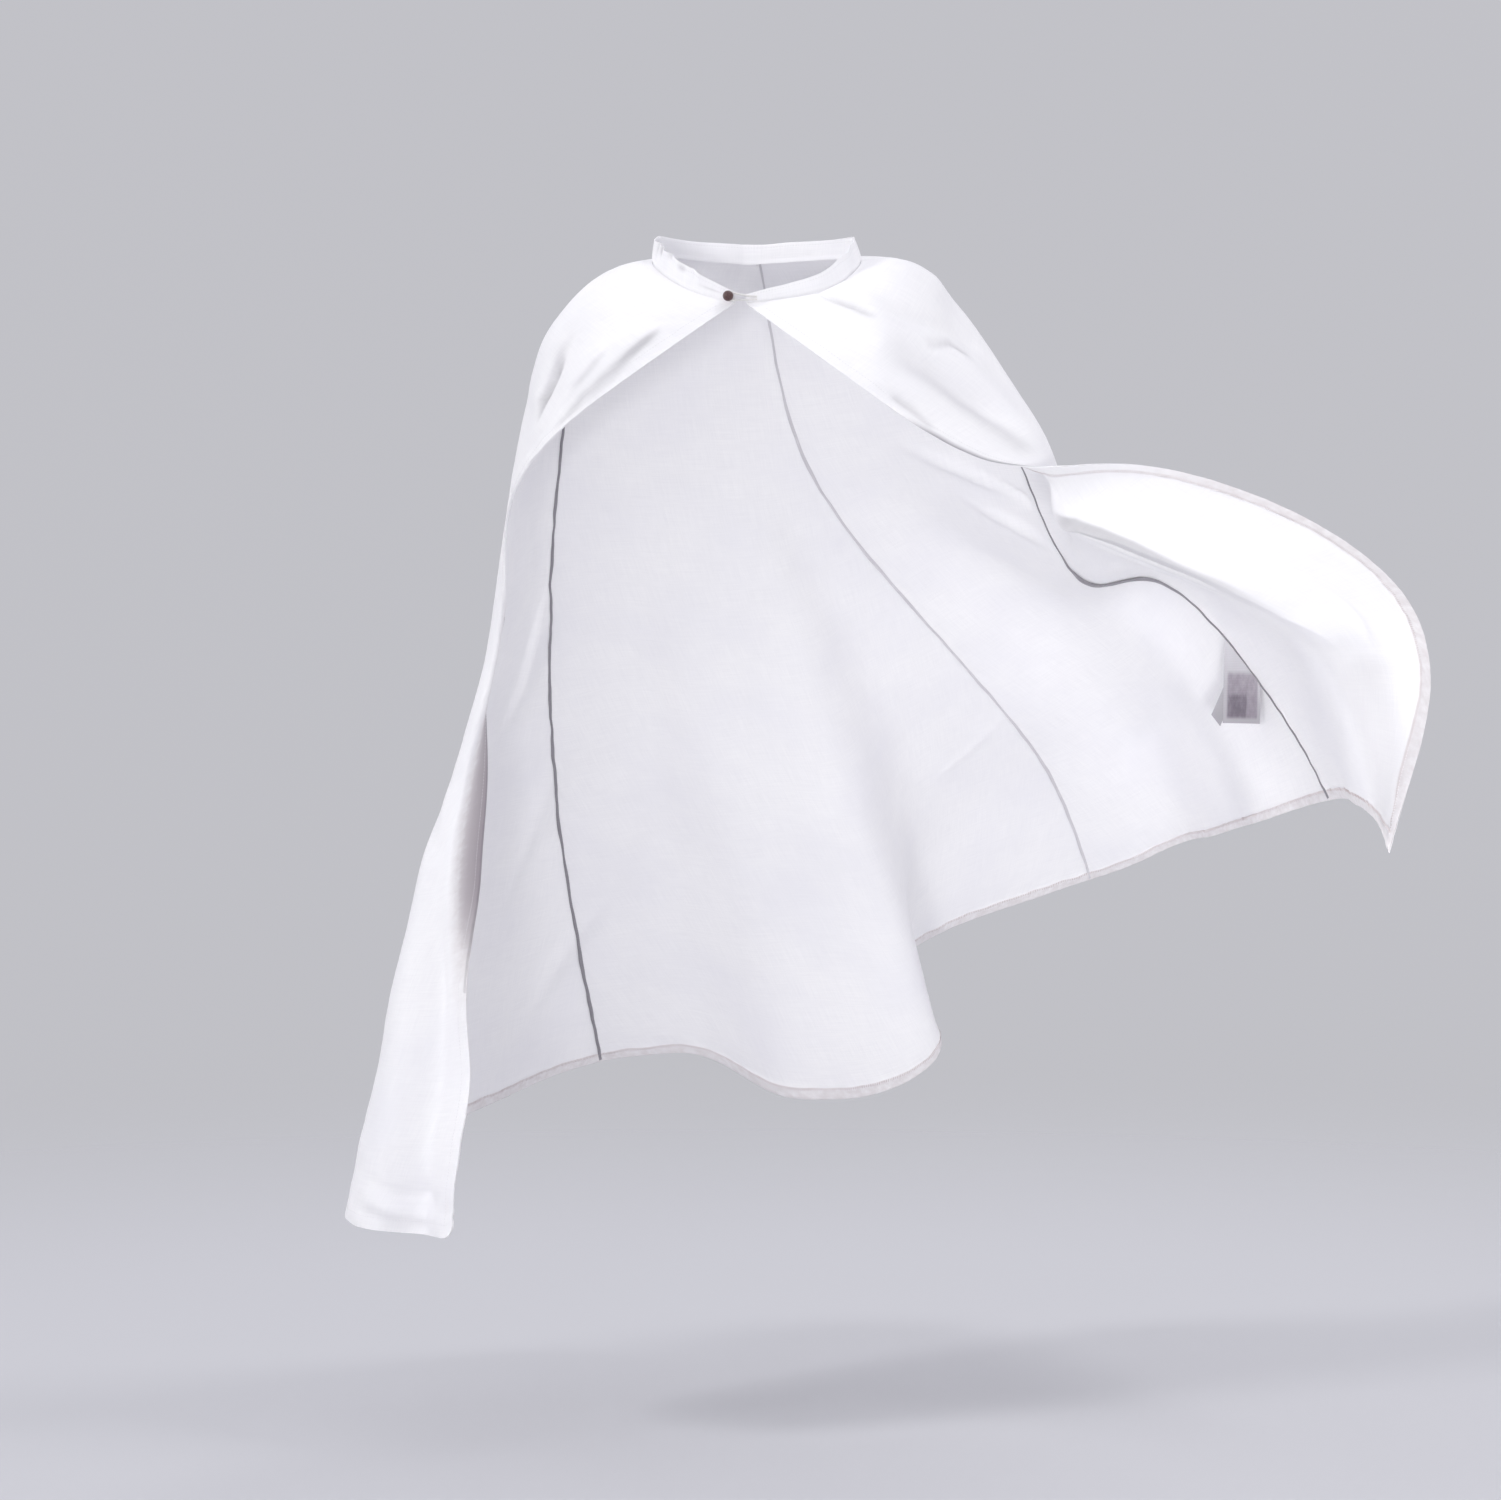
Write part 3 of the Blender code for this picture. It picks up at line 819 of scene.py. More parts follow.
def set_inputs(tree: bpy.types.NodeTree, node: bpy.types.Node, inputs: dict) -> None:
    """Set or link a node's inputs.

    Args:
        tree: the node tree.
        node: the node.
        inputs: a value, or an output socket to link, for inputs by name or number.
    """
    for name, value in inputs.items():
        if isinstance(value, Socket):
            tree.links.new(value, node.inputs[name])
        else:
            node.inputs[name].default_value = value


def add_node(tree: bpy.types.NodeTree, kind: str, settings: dict | None = None,
             inputs: dict | None = None) -> bpy.types.Node:
    """Add a node with its settings and links.

    Args:
        tree: the node tree.
        kind: the node's type name.
        settings: properties of the node.
        inputs: a value, or an output socket to link, for inputs by name or number.

    Returns:
        The new node.
    """
    node = tree.nodes.new(kind)
    for name, value in (settings or {}).items():
        setattr(node, name, value)
    set_inputs(tree, node, inputs or {})
    return node


def calculate(tree: bpy.types.NodeTree, operation: str, *values: Socket | float,
              clamp: bool = False) -> Socket:
    """Add a math node.

    Args:
        tree: the node tree.
        operation: what it works out.
        values: its inputs in order.
        clamp: True to keep the result from 0 to 1.

    Returns:
        The result.
    """
    settings = {"operation": operation, "use_clamp": clamp}
    return add_node(tree, "ShaderNodeMath", settings, dict(enumerate(values))).outputs[0]


def mix(tree: bpy.types.NodeTree, share: Socket, first: Socket | tuple, second: Socket | tuple) -> Socket:
    """Add a mix of two colours.

    Args:
        tree: the node tree.
        share: how much of the second colour shows.
        first: the first colour.
        second: the second colour.

    Returns:
        The mixed colour.
    """
    inputs = {"Factor": share, 6: first, 7: second}
    return add_node(tree, "ShaderNodeMix", {"data_type": "RGBA"}, inputs).outputs[2]


def map_range(tree: bpy.types.NodeTree, value: Socket, low: float, high: float, to_low: float = 0.0,
              to_high: float = 1.0) -> Socket:
    """Add a node that maps one range of values to another, and stops at its ends.

    Args:
        tree: the node tree.
        value: the value.
        low: the value that becomes to_low.
        high: the value that becomes to_high.
        to_low: the first end of the new range.
        to_high: the second end of the new range.

    Returns:
        The mapped value.
    """
    return add_node(tree, "ShaderNodeMapRange", inputs={
        "Value": value, "From Min": low, "From Max": high, "To Min": to_low, "To Max": to_high}).outputs[0]


def noise(tree: bpy.types.NodeTree, places: Socket, scale: float, detail: float, roughness: float,
          distortion: float = 0.0) -> Socket:
    """Add a noise texture.

    Args:
        tree: the node tree.
        places: the coordinates it reads.
        scale: how many times it changes in each unit of them.
        detail: how many finer layers it has.
        roughness: how strong the finer layers are.
        distortion: how far it is bent.

    Returns:
        The noise, from 0 to 1.
    """
    return add_node(tree, "ShaderNodeTexNoise", inputs={
        "Vector": places, "Scale": scale, "Detail": detail, "Roughness": roughness,
        "Distortion": distortion}).outputs[0]


def bump(tree: bpy.types.NodeTree, height: Socket, strength: float, distance: float) -> Socket:
    """Add a bump node.

    Args:
        tree: the node tree.
        height: the height it reads.
        strength: how far it shows.
        distance: how deep it is, in metres.

    Returns:
        The bumped normal.
    """
    return add_node(tree, "ShaderNodeBump", inputs={
        "Strength": strength, "Distance": distance, "Height": height}).outputs[0]


def new_material(name: str) -> tuple[bpy.types.Material, bpy.types.NodeTree, bpy.types.Node]:
    """Make a new material.

    Args:
        name: the material's name.

    Returns:
        The material, its node tree, and its Principled shader.
    """
    material = bpy.data.materials.new(name)
    material.use_nodes = True
    return material, material.node_tree, material.node_tree.nodes["Principled BSDF"]


@dataclass(frozen=True)
class CottonFinish:
    """Plain-woven bleached cotton: matt, faintly fuzzy, with slubs along both thread directions.

    The real threads are about 0.5 mm apart, too fine to show, so the weave is drawn at 2.0 mm.
    """

    thread: float = 2.0 * MM
    slub_width: float = 1.6 * MM
    slub_length: float = 42.0 * MM
    cloud: float = 150.0 * MM
    blotches_per_metre: float = 90.0
    light: str = "#fbfafb"
    dull: str = "#f4f3f5"
    grey: str = "#efeef3"
    # The hems' tint: partly wear, partly painted shade on the doubled cloth.
    worn: str = "#e0dbdc"
    # Painted shade on the rolled right front edge.
    painted_edge_shade: str = "#a79ea4"
    # Painted shade in creases, in the collar's pinches and over the wing's tip.
    hollow: str = "#8f8d93"

    def material(self) -> bpy.types.Material:
        """Make the material, which reads the weave map, and the edge and hollow attributes that carry wear
        and painted shade.

        Returns:
            The cotton's material.
        """
        material, tree, shader = new_material("bleached_plain_weave_cotton")
        weave = add_node(tree, "ShaderNodeUVMap", {"uv_map": "weave"}).outputs["UV"]
        places = add_node(tree, "ShaderNodeSeparateXYZ", inputs={0: weave}).outputs
        rings = 2.0 * math.pi / self.thread
        over, under = [calculate(tree, "SINE", calculate(tree, "MULTIPLY", places[axis], rings))
                       for axis in ("X", "Y")]
        threads = calculate(tree, "MULTIPLY", over, under)
        narrow, long = 1.0 / self.slub_width, 1.0 / self.slub_length
        slubs = []
        for scale in ((narrow, long, 1.0), (long, narrow, 1.0)):
            stretched = add_node(tree, "ShaderNodeMapping", inputs={"Vector": weave, "Scale": scale})
            slubs.append(noise(tree, stretched.outputs[0], 1.0, 3.0, 0.6))
        both = calculate(tree, "ADD", *slubs)
        colour = mix(tree, map_range(tree, both, 0.75, 1.25), hex_colour(self.dull), hex_colour(self.light))
        washed = map_range(tree, noise(tree, weave, 1.0 / self.cloud, 3.0, 0.5), 0.4, 0.75, 0.0, 0.6)
        colour = mix(tree, washed, colour, hex_colour(self.grey))
        # The edge attribute: up to 1 it mixes in the hem tint, partly wear and partly painted shade; from 1
        # to 2 it mixes in the painted shade of the rolled right front edge.
        edge = add_node(tree, "ShaderNodeAttribute", {"attribute_name": "edge"}).outputs["Fac"]
        uneven = map_range(tree, noise(tree, weave, self.blotches_per_metre, 4.0, 0.65), 0.3, 0.65, 0.35)
        colour = mix(tree, calculate(tree, "MULTIPLY", edge, uneven), colour, hex_colour(self.worn))
        rolled_edge_shade = calculate(tree, "SUBTRACT", edge, 1.0, clamp=True)
        colour = mix(tree, rolled_edge_shade, colour, hex_colour(self.painted_edge_shade))
        # The hollow attribute mixes in painted shade.
        hollow = add_node(tree, "ShaderNodeAttribute", {"attribute_name": "hollow"}).outputs["Fac"]
        colour = mix(tree, hollow, colour, hex_colour(self.hollow))
        height = calculate(tree, "MULTIPLY_ADD", both, 0.8, threads)
        set_inputs(tree, shader, {
            "Base Color": colour, "Normal": bump(tree, height, 0.35, 0.12 * MM), "Roughness": 0.9,
            "IOR": 1.53, "Specular IOR Level": 0.25, "Sheen Weight": 0.18, "Sheen Roughness": 0.5})
        return material


@dataclass(frozen=True)
class ThreadFinish:
    """Spun sewing thread: matt and a little hairy, uneven in tone along its length."""

    name: str
    light: str
    dark: str
    fibres_per_metre: float = 900.0

    def material(self) -> bpy.types.Material:
        """Make the material, which reads Object coordinates.

        Returns:
            The thread's material.
        """
        material, tree, shader = new_material(self.name)
        places = add_node(tree, "ShaderNodeTexCoord").outputs["Object"]
        spun = noise(tree, places, self.fibres_per_metre, 3.0, 0.6)
        set_inputs(tree, shader, {
            "Base Color": mix(tree, spun, hex_colour(self.dark), hex_colour(self.light)),
            "Normal": bump(tree, spun, 0.4, 0.1 * MM), "Roughness": 0.75, "Sheen Weight": 0.2})
        return material


@dataclass(frozen=True)
class WoodFinish:
    """Turned hardwood, stained dark plum brown and waxed: fine grain lines under a soft gloss."""

    grain: float = 0.9 * MM
    grain_tilt: Place = (0.35, 0.2, 0.0)
    grain_stretch: Place = (1.0, 1.0, 0.16)
    light: str = "#6d4c4a"
    dark: str = "#33201f"

    def material(self) -> bpy.types.Material:
        """Make the material, which reads Object coordinates.

        Returns:
            The bead's material.
        """
        material, tree, shader = new_material("stained_waxed_hardwood")
        places = add_node(tree, "ShaderNodeTexCoord").outputs["Object"]
        turned = add_node(tree, "ShaderNodeMapping", inputs={
            "Vector": places, "Rotation": self.grain_tilt, "Scale": self.grain_stretch})
        grain = noise(tree, turned.outputs[0], 1.0 / self.grain, 5.0, 0.62, 0.4)
        share = map_range(tree, grain, 0.3, 0.75)
        set_inputs(tree, shader, {
            "Base Color": mix(tree, share, hex_colour(self.dark), hex_colour(self.light)),
            "Roughness": map_range(tree, grain, 0.0, 1.0, 0.34, 0.56),
            "Normal": bump(tree, grain, 0.25, 0.08 * MM), "Coat Weight": 0.25, "Coat Roughness": 0.3})
        return material


@dataclass(frozen=True)
class TapePanel:
    """One plain panel of a tape: its left, right, top and foot as shares of the tape, and its colour."""

    left: float
    right: float
    top: float
    foot: float
    colour: str


@dataclass(frozen=True)
class TapeFinish:
    """Woven satin tape: a fine rib across, a dull sheen, and two plain darker panels on its lower part."""

    rib: float = 1.6 * MM
    length: float = 80.0 * MM
    # The tape's top colour, and the painted shade it darkens to at its foot.
    light: str = "#c4c2c7"
    shade: str = "#aaa7ac"
    near_blur: float = 0.03
    far_blur: float = 0.02
    panels: tuple[TapePanel, ...] = (
        TapePanel(0.1, 0.92, 0.40, 0.94, "#857b87"),
        TapePanel(0.12, 0.62, 0.66, 0.93, "#655d69"),
    )

    def material(self) -> bpy.types.Material:
        """Make the material, which reads the tape map: 0 to 1 across and down.

        Returns:
            The label's material.
        """
        material, tree, shader = new_material("grey_satin_tape")
        tape = add_node(tree, "ShaderNodeUVMap", {"uv_map": "weave"}).outputs["UV"]
        places = add_node(tree, "ShaderNodeSeparateXYZ", inputs={0: tape}).outputs
        turns = calculate(tree, "MULTIPLY", places["Y"], 2.0 * math.pi * self.length / self.rib)
        rib = calculate(tree, "SINE", turns)
        uneven = noise(tree, tape, 9.0, 4.0, 0.6)
        faded = calculate(tree, "MULTIPLY_ADD", uneven, 0.9, 0.25, clamp=True)
        # Painted shade: the tape darkens from its top towards its foot.
        colour = mix(tree, places["Y"], hex_colour(self.light), hex_colour(self.shade))
        for panel in self.panels:
            share = faded
            for axis, low, high in (("X", panel.left, panel.right), ("Y", panel.top, panel.foot)):
                enter = map_range(tree, places[axis], low - self.near_blur, low + self.near_blur)
                leave = map_range(tree, places[axis], high + self.far_blur, high - self.far_blur)
                share = calculate(tree, "MULTIPLY", share, calculate(tree, "MULTIPLY", enter, leave))
            colour = mix(tree, share, colour, hex_colour(panel.colour))
        set_inputs(tree, shader, {
            "Base Color": colour, "Normal": bump(tree, rib, 0.4, 0.1 * MM), "Roughness": 0.55,
            "Sheen Weight": 0.15})
        return material


@dataclass(frozen=True)
class FloorFinish:
    """Pale matt studio floor, which fades out at its rim."""

    colour: str = "#c8c8cc"
    fade_start: float = 1.6
    fade_end: float = 4.2

    def material(self) -> bpy.types.Material:
        """Make the material, which reads Object coordinates.

        Returns:
            The floor's material.
        """
        material, tree, shader = new_material("pale_studio_floor")
        places = add_node(tree, "ShaderNodeTexCoord").outputs["Object"]
        far = add_node(tree, "ShaderNodeVectorMath", {"operation": "LENGTH"}, {0: places})
        solid = add_node(tree, "ShaderNodeMapRange", {"interpolation_type": "SMOOTHSTEP"}, {
            "Value": far.outputs["Value"], "From Min": self.fade_start, "From Max": self.fade_end,
            "To Min": 1.0, "To Max": 0.0})
        set_inputs(tree, shader, {
            "Base Color": hex_colour(self.colour), "Roughness": 0.95, "Alpha": solid.outputs[0]})
        return material


@dataclass(frozen=True)
class Wardrobe:
    """All finishes of the cape, each made once."""

    cotton: bpy.types.Material
    white_thread: bpy.types.Material
    beige_thread: bpy.types.Material
    grey_thread: bpy.types.Material
    pale_thread: bpy.types.Material
    wood: bpy.types.Material
    cord: bpy.types.Material
    tape: bpy.types.Material

    @classmethod
    def stocked(cls) -> "Wardrobe":
        """Make every finish.

        Returns:
            The wardrobe.
        """
        return cls(
            cotton=CottonFinish().material(),
            white_thread=ThreadFinish("white_cotton_thread", "#f6f5f6", "#dad8dd").material(),
            beige_thread=ThreadFinish("beige_overlock_thread", "#d8cdcd", "#b4a6a7").material(),
            grey_thread=ThreadFinish("grey_overlock_thread", "#a19ea4", "#77747a").material(),
            pale_thread=ThreadFinish("pale_overlock_thread", "#dedce0", "#c6c3c8").material(),
            wood=WoodFinish().material(),
            cord=ThreadFinish("white_twisted_cotton_cord", "#f2f0ee", "#d2cfcf").material(),
            tape=TapeFinish().material(),
        )


# The angles in degrees from which an edge of a shell, a tube and the bead is sharp.
SHELL_RIM, TUBE_RIM, BEAD_RIM = 55.0, 60.0, 50.0


def link_piece(name: str, mesh: bpy.types.Mesh) -> bpy.types.Object:
    """Make an object of a mesh and link it to the scene.

    Args:
        name: the object's name.
        mesh: its mesh.

    Returns:
        The object.
    """
    piece = bpy.data.objects.new(name, mesh)
    bpy.context.scene.collection.objects.link(piece)
    return piece


def shade(mesh: bpy.types.Mesh, rim: float) -> bpy.types.Mesh:
    """Shade a mesh smooth with sharp rims.

    Args:
        mesh: the mesh.
        rim: the angle from which an edge is a rim, in degrees.

    Returns:
        The same mesh.
    """
    mesh.shade_smooth()
    mesh.set_sharp_from_angle(angle=math.radians(rim))
    mesh.update()
    return mesh


def dress(piece: bpy.types.Object, material: bpy.types.Material,
          nodes: Sequence[str] = ()) -> bpy.types.Object:
    """Give a piece its finish, its body and the solids it stands for.

    Args:
        piece: the piece's object.
        material: its finish.
        nodes: the names of the solids that it replaces.

    Returns:
        The piece.
    """
    if not piece.data.materials:
        piece.data.materials.append(material)
    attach(piece, "root")
    if nodes:
        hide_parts(*nodes)
    piece.data.calc_loop_triangles()
    log.info("%s: %d triangles", piece.name, len(piece.data.loop_triangles))
    return piece


def shell_mesh(name: str, outer: Array, inner: Array, weave: Array,
               tints: dict[str, tuple[Array, Array]] | None = None) -> bpy.types.Mesh:
    """Make a closed shell between two grids of points.

    Args:
        name: the mesh's name.
        outer: the outer face, rows by columns, whose columns crossed with rows point outwards.
        inner: the inner face, the same shape.
        weave: the weave map's places, rows by columns by 2.
        tints: the values of the outer and the inner face's points, for attributes that the finish reads.

    Returns:
        The mesh, smooth-shaded with sharp rims.
    """
    rows, columns = outer.shape[:2]
    count = rows * columns
    index = np.arange(count).reshape(rows, columns)
    a, b, c, d = index[:-1, :-1], index[:-1, 1:], index[1:, 1:], index[1:, :-1]
    face = np.stack([a, b, c, d], axis=-1).reshape(-1, 4)
    quads = [face, face[:, ::-1] + count]
    for first, second in ((index[0, 1:], index[0, :-1]), (index[-1, :-1], index[-1, 1:]),
                          (index[:-1, 0], index[1:, 0]), (index[1:, -1], index[:-1, -1])):
        quads.append(np.stack([first, second, second + count, first + count], axis=-1))
    quads = np.concatenate(quads)
    mesh = bpy.data.meshes.new(name)
    points = np.concatenate([outer.reshape(-1, 3), inner.reshape(-1, 3)])
    mesh.from_pydata(points.tolist(), [], quads.tolist())
    places = np.tile(weave.reshape(-1, 2), (2, 1))
    corners = np.zeros(len(mesh.loops), np.int32)
    mesh.loops.foreach_get("vertex_index", corners)
    layer = mesh.uv_layers.new(name="weave")
    layer.data.foreach_set("uv", places[corners].astype(np.float32).ravel())
    for tint, sides in (tints or {}).items():
        layer = mesh.attributes.new(tint, "FLOAT", "POINT")
        values = np.concatenate([side.ravel() for side in sides])
        layer.data.foreach_set("value", values.astype(np.float32))
    return shade(mesh, SHELL_RIM)


def tube_mesh(name: str, path: Array, side: Array, face: Array, section: Array,
              full: Array | float = 1.0) -> bpy.types.Mesh:
    """Sweep a closed section along a path.

    Args:
        name: the mesh's name.
        path: the path's points.
        side: the section's first direction at each point.
        face: the section's second direction at each point.
        section: points of the section as (along side, along face), in metres, counter-clockwise when
            seen against the path.
        full: how many times wider the section is at each point.

    Returns:
        The tube's mesh with closed ends.
    """
    full = np.broadcast_to(full, len(path))[:, None]
    side, face = side * full, face * full
    ring = path[:, None] + side[:, None] * section[None, :, :1] + face[:, None] * section[None, :, 1:]
    rows, columns = ring.shape[:2]
    index = np.arange(rows * columns).reshape(rows, columns)
    turned = np.roll(index, -1, axis=1)
    quads = np.stack([index[:-1], turned[:-1], turned[1:], index[1:]], axis=-1).reshape(-1, 4).tolist()
    quads += [index[0, ::-1].tolist(), index[-1].tolist()]
    mesh = bpy.data.meshes.new(name)
    mesh.from_pydata(ring.reshape(-1, 3).tolist(), [], quads)
    return shade(mesh, TUBE_RIM)


def join_meshes(name: str, meshes: Iterable[bpy.types.Mesh]) -> bpy.types.Mesh:
    """Join meshes, with their faces pointing outwards.

    Args:
        name: the new mesh's name.
        meshes: the meshes to join.

    Returns:
        The one mesh.
    """
    whole = bmesh.new()
    for mesh in meshes:
        whole.from_mesh(mesh)
    bmesh.ops.recalc_face_normals(whole, faces=whole.faces[:])
    joined = bpy.data.meshes.new(name)
    whole.to_mesh(joined)
    whole.free()
    return shade(joined, TUBE_RIM)


@dataclass(frozen=True)
class ThreadPath:
    """One line that a row of stitches follows: its points, and the way the stitches face."""

    points: Array
    faces: Array


@dataclass(frozen=True)
class StitchRow:
    """A kind of stitch: its spacing and size in millimetres, and its slant across the row in degrees."""

    spacing: float
    length: float
    width: float
    height: float
    slant: float = 0.0

    def tree(self, material: bpy.types.Material) -> bpy.types.NodeTree:
        """Build the node tree that lays stitches along lines.

        Args:
            material: the thread's finish.

        Returns:
            The geometry node tree, with named inputs for the stitch's sizes.
        """
        tree = bpy.data.node_groups.new("stitch_row", "GeometryNodeTree")
        tree.interface.new_socket("Lines", in_out="INPUT", socket_type="NodeSocketGeometry")
        for name in ("Spacing", "Length", "Width", "Height", "Slant"):
            tree.interface.new_socket(name, in_out="INPUT", socket_type="NodeSocketFloat")
        tree.interface.new_socket("Stitches", in_out="OUTPUT", socket_type="NodeSocketGeometry")
        given = add_node(tree, "NodeGroupInput").outputs
        curve = add_node(tree, "GeometryNodeMeshToCurve", inputs={"Mesh": given["Lines"]})
        spaced = add_node(tree, "GeometryNodeResampleCurve", {"mode": "LENGTH"}, {
            "Curve": curve.outputs[0], "Length": given["Spacing"]})
        ball = add_node(tree, "GeometryNodeMeshUVSphere", inputs={"Segments": 6, "Rings": 4, "Radius": 0.5})
        size = add_node(tree, "ShaderNodeCombineXYZ", inputs={
            "X": given["Length"], "Y": given["Width"], "Z": given["Height"]})
        turn = add_node(tree, "ShaderNodeCombineXYZ", inputs={"Z": given["Slant"]})
        stitch = add_node(tree, "GeometryNodeTransform", inputs={
            "Geometry": ball.outputs["Mesh"], "Scale": size.outputs[0], "Rotation": turn.outputs[0]})
        along = add_node(tree, "GeometryNodeInputTangent")
        face = add_node(tree, "GeometryNodeInputNamedAttribute", {"data_type": "FLOAT_VECTOR"},
                        {"Name": "face"})
        lying = add_node(tree, "FunctionNodeAlignRotationToVector", {"axis": "X"},
                         {"Vector": along.outputs[0]})
        facing = add_node(tree, "FunctionNodeAlignRotationToVector", {"axis": "Z", "pivot_axis": "X"}, {
            "Rotation": lying.outputs[0], "Vector": face.outputs["Attribute"]})
        uneven = add_node(tree, "FunctionNodeRandomValue", {"data_type": "FLOAT"}, {
            2: 0.86, 3: 1.1, "Seed": SEED})
        laid = add_node(tree, "GeometryNodeInstanceOnPoints", inputs={
            "Points": spaced.outputs[0], "Instance": stitch.outputs[0], "Rotation": facing.outputs[0],
            "Scale": uneven.outputs[1]})
        real = add_node(tree, "GeometryNodeRealizeInstances", inputs={"Geometry": laid.outputs[0]})
        done = add_node(tree, "GeometryNodeSetMaterial", inputs={
            "Geometry": real.outputs[0], "Material": material})
        add_node(tree, "NodeGroupOutput", inputs={0: done.outputs[0]})
        return tree

    def lay(self, name: str, paths: Sequence[ThreadPath], material: bpy.types.Material) -> bpy.types.Object:
        """Lay this stitch along paths.

        Args:
            name: the piece's name.
            paths: the lines to follow.
            material: the thread's finish.

        Returns:
            The stitches as one plain mesh object.
        """
        lines = bpy.data.meshes.new(name + "_lines")
        points, faces, edges = [], [], []
        for path in paths:
            start = len(points)
            points += path.points.tolist()
            faces += path.faces.tolist()
            edges += [(start + i, start + i + 1) for i in range(len(path.points) - 1)]
        lines.from_pydata(points, edges, [])
        facing = lines.attributes.new("face", "FLOAT_VECTOR", "POINT")
        facing.data.foreach_set("vector", np.array(faces, np.float32).ravel())
        guide = link_piece(name + "_guide", lines)
        tree = self.tree(material)
        rows = guide.modifiers.new("stitches", "NODES")
        rows.node_group = tree
        values = {"Spacing": self.spacing * MM, "Length": self.length * MM, "Width": self.width * MM,
                  "Height": self.height * MM, "Slant": math.radians(self.slant)}
        for item in tree.interface.items_tree:
            if item.name in values:
                rows[item.identifier] = values[item.name]
        shown = guide.evaluated_get(bpy.context.evaluated_depsgraph_get())
        mesh = bpy.data.meshes.new_from_object(shown)
        mesh.shade_smooth()
        piece = link_piece(name, mesh)
        bpy.data.objects.remove(guide)
        bpy.data.meshes.remove(lines)
        bpy.data.node_groups.remove(tree)
        return piece


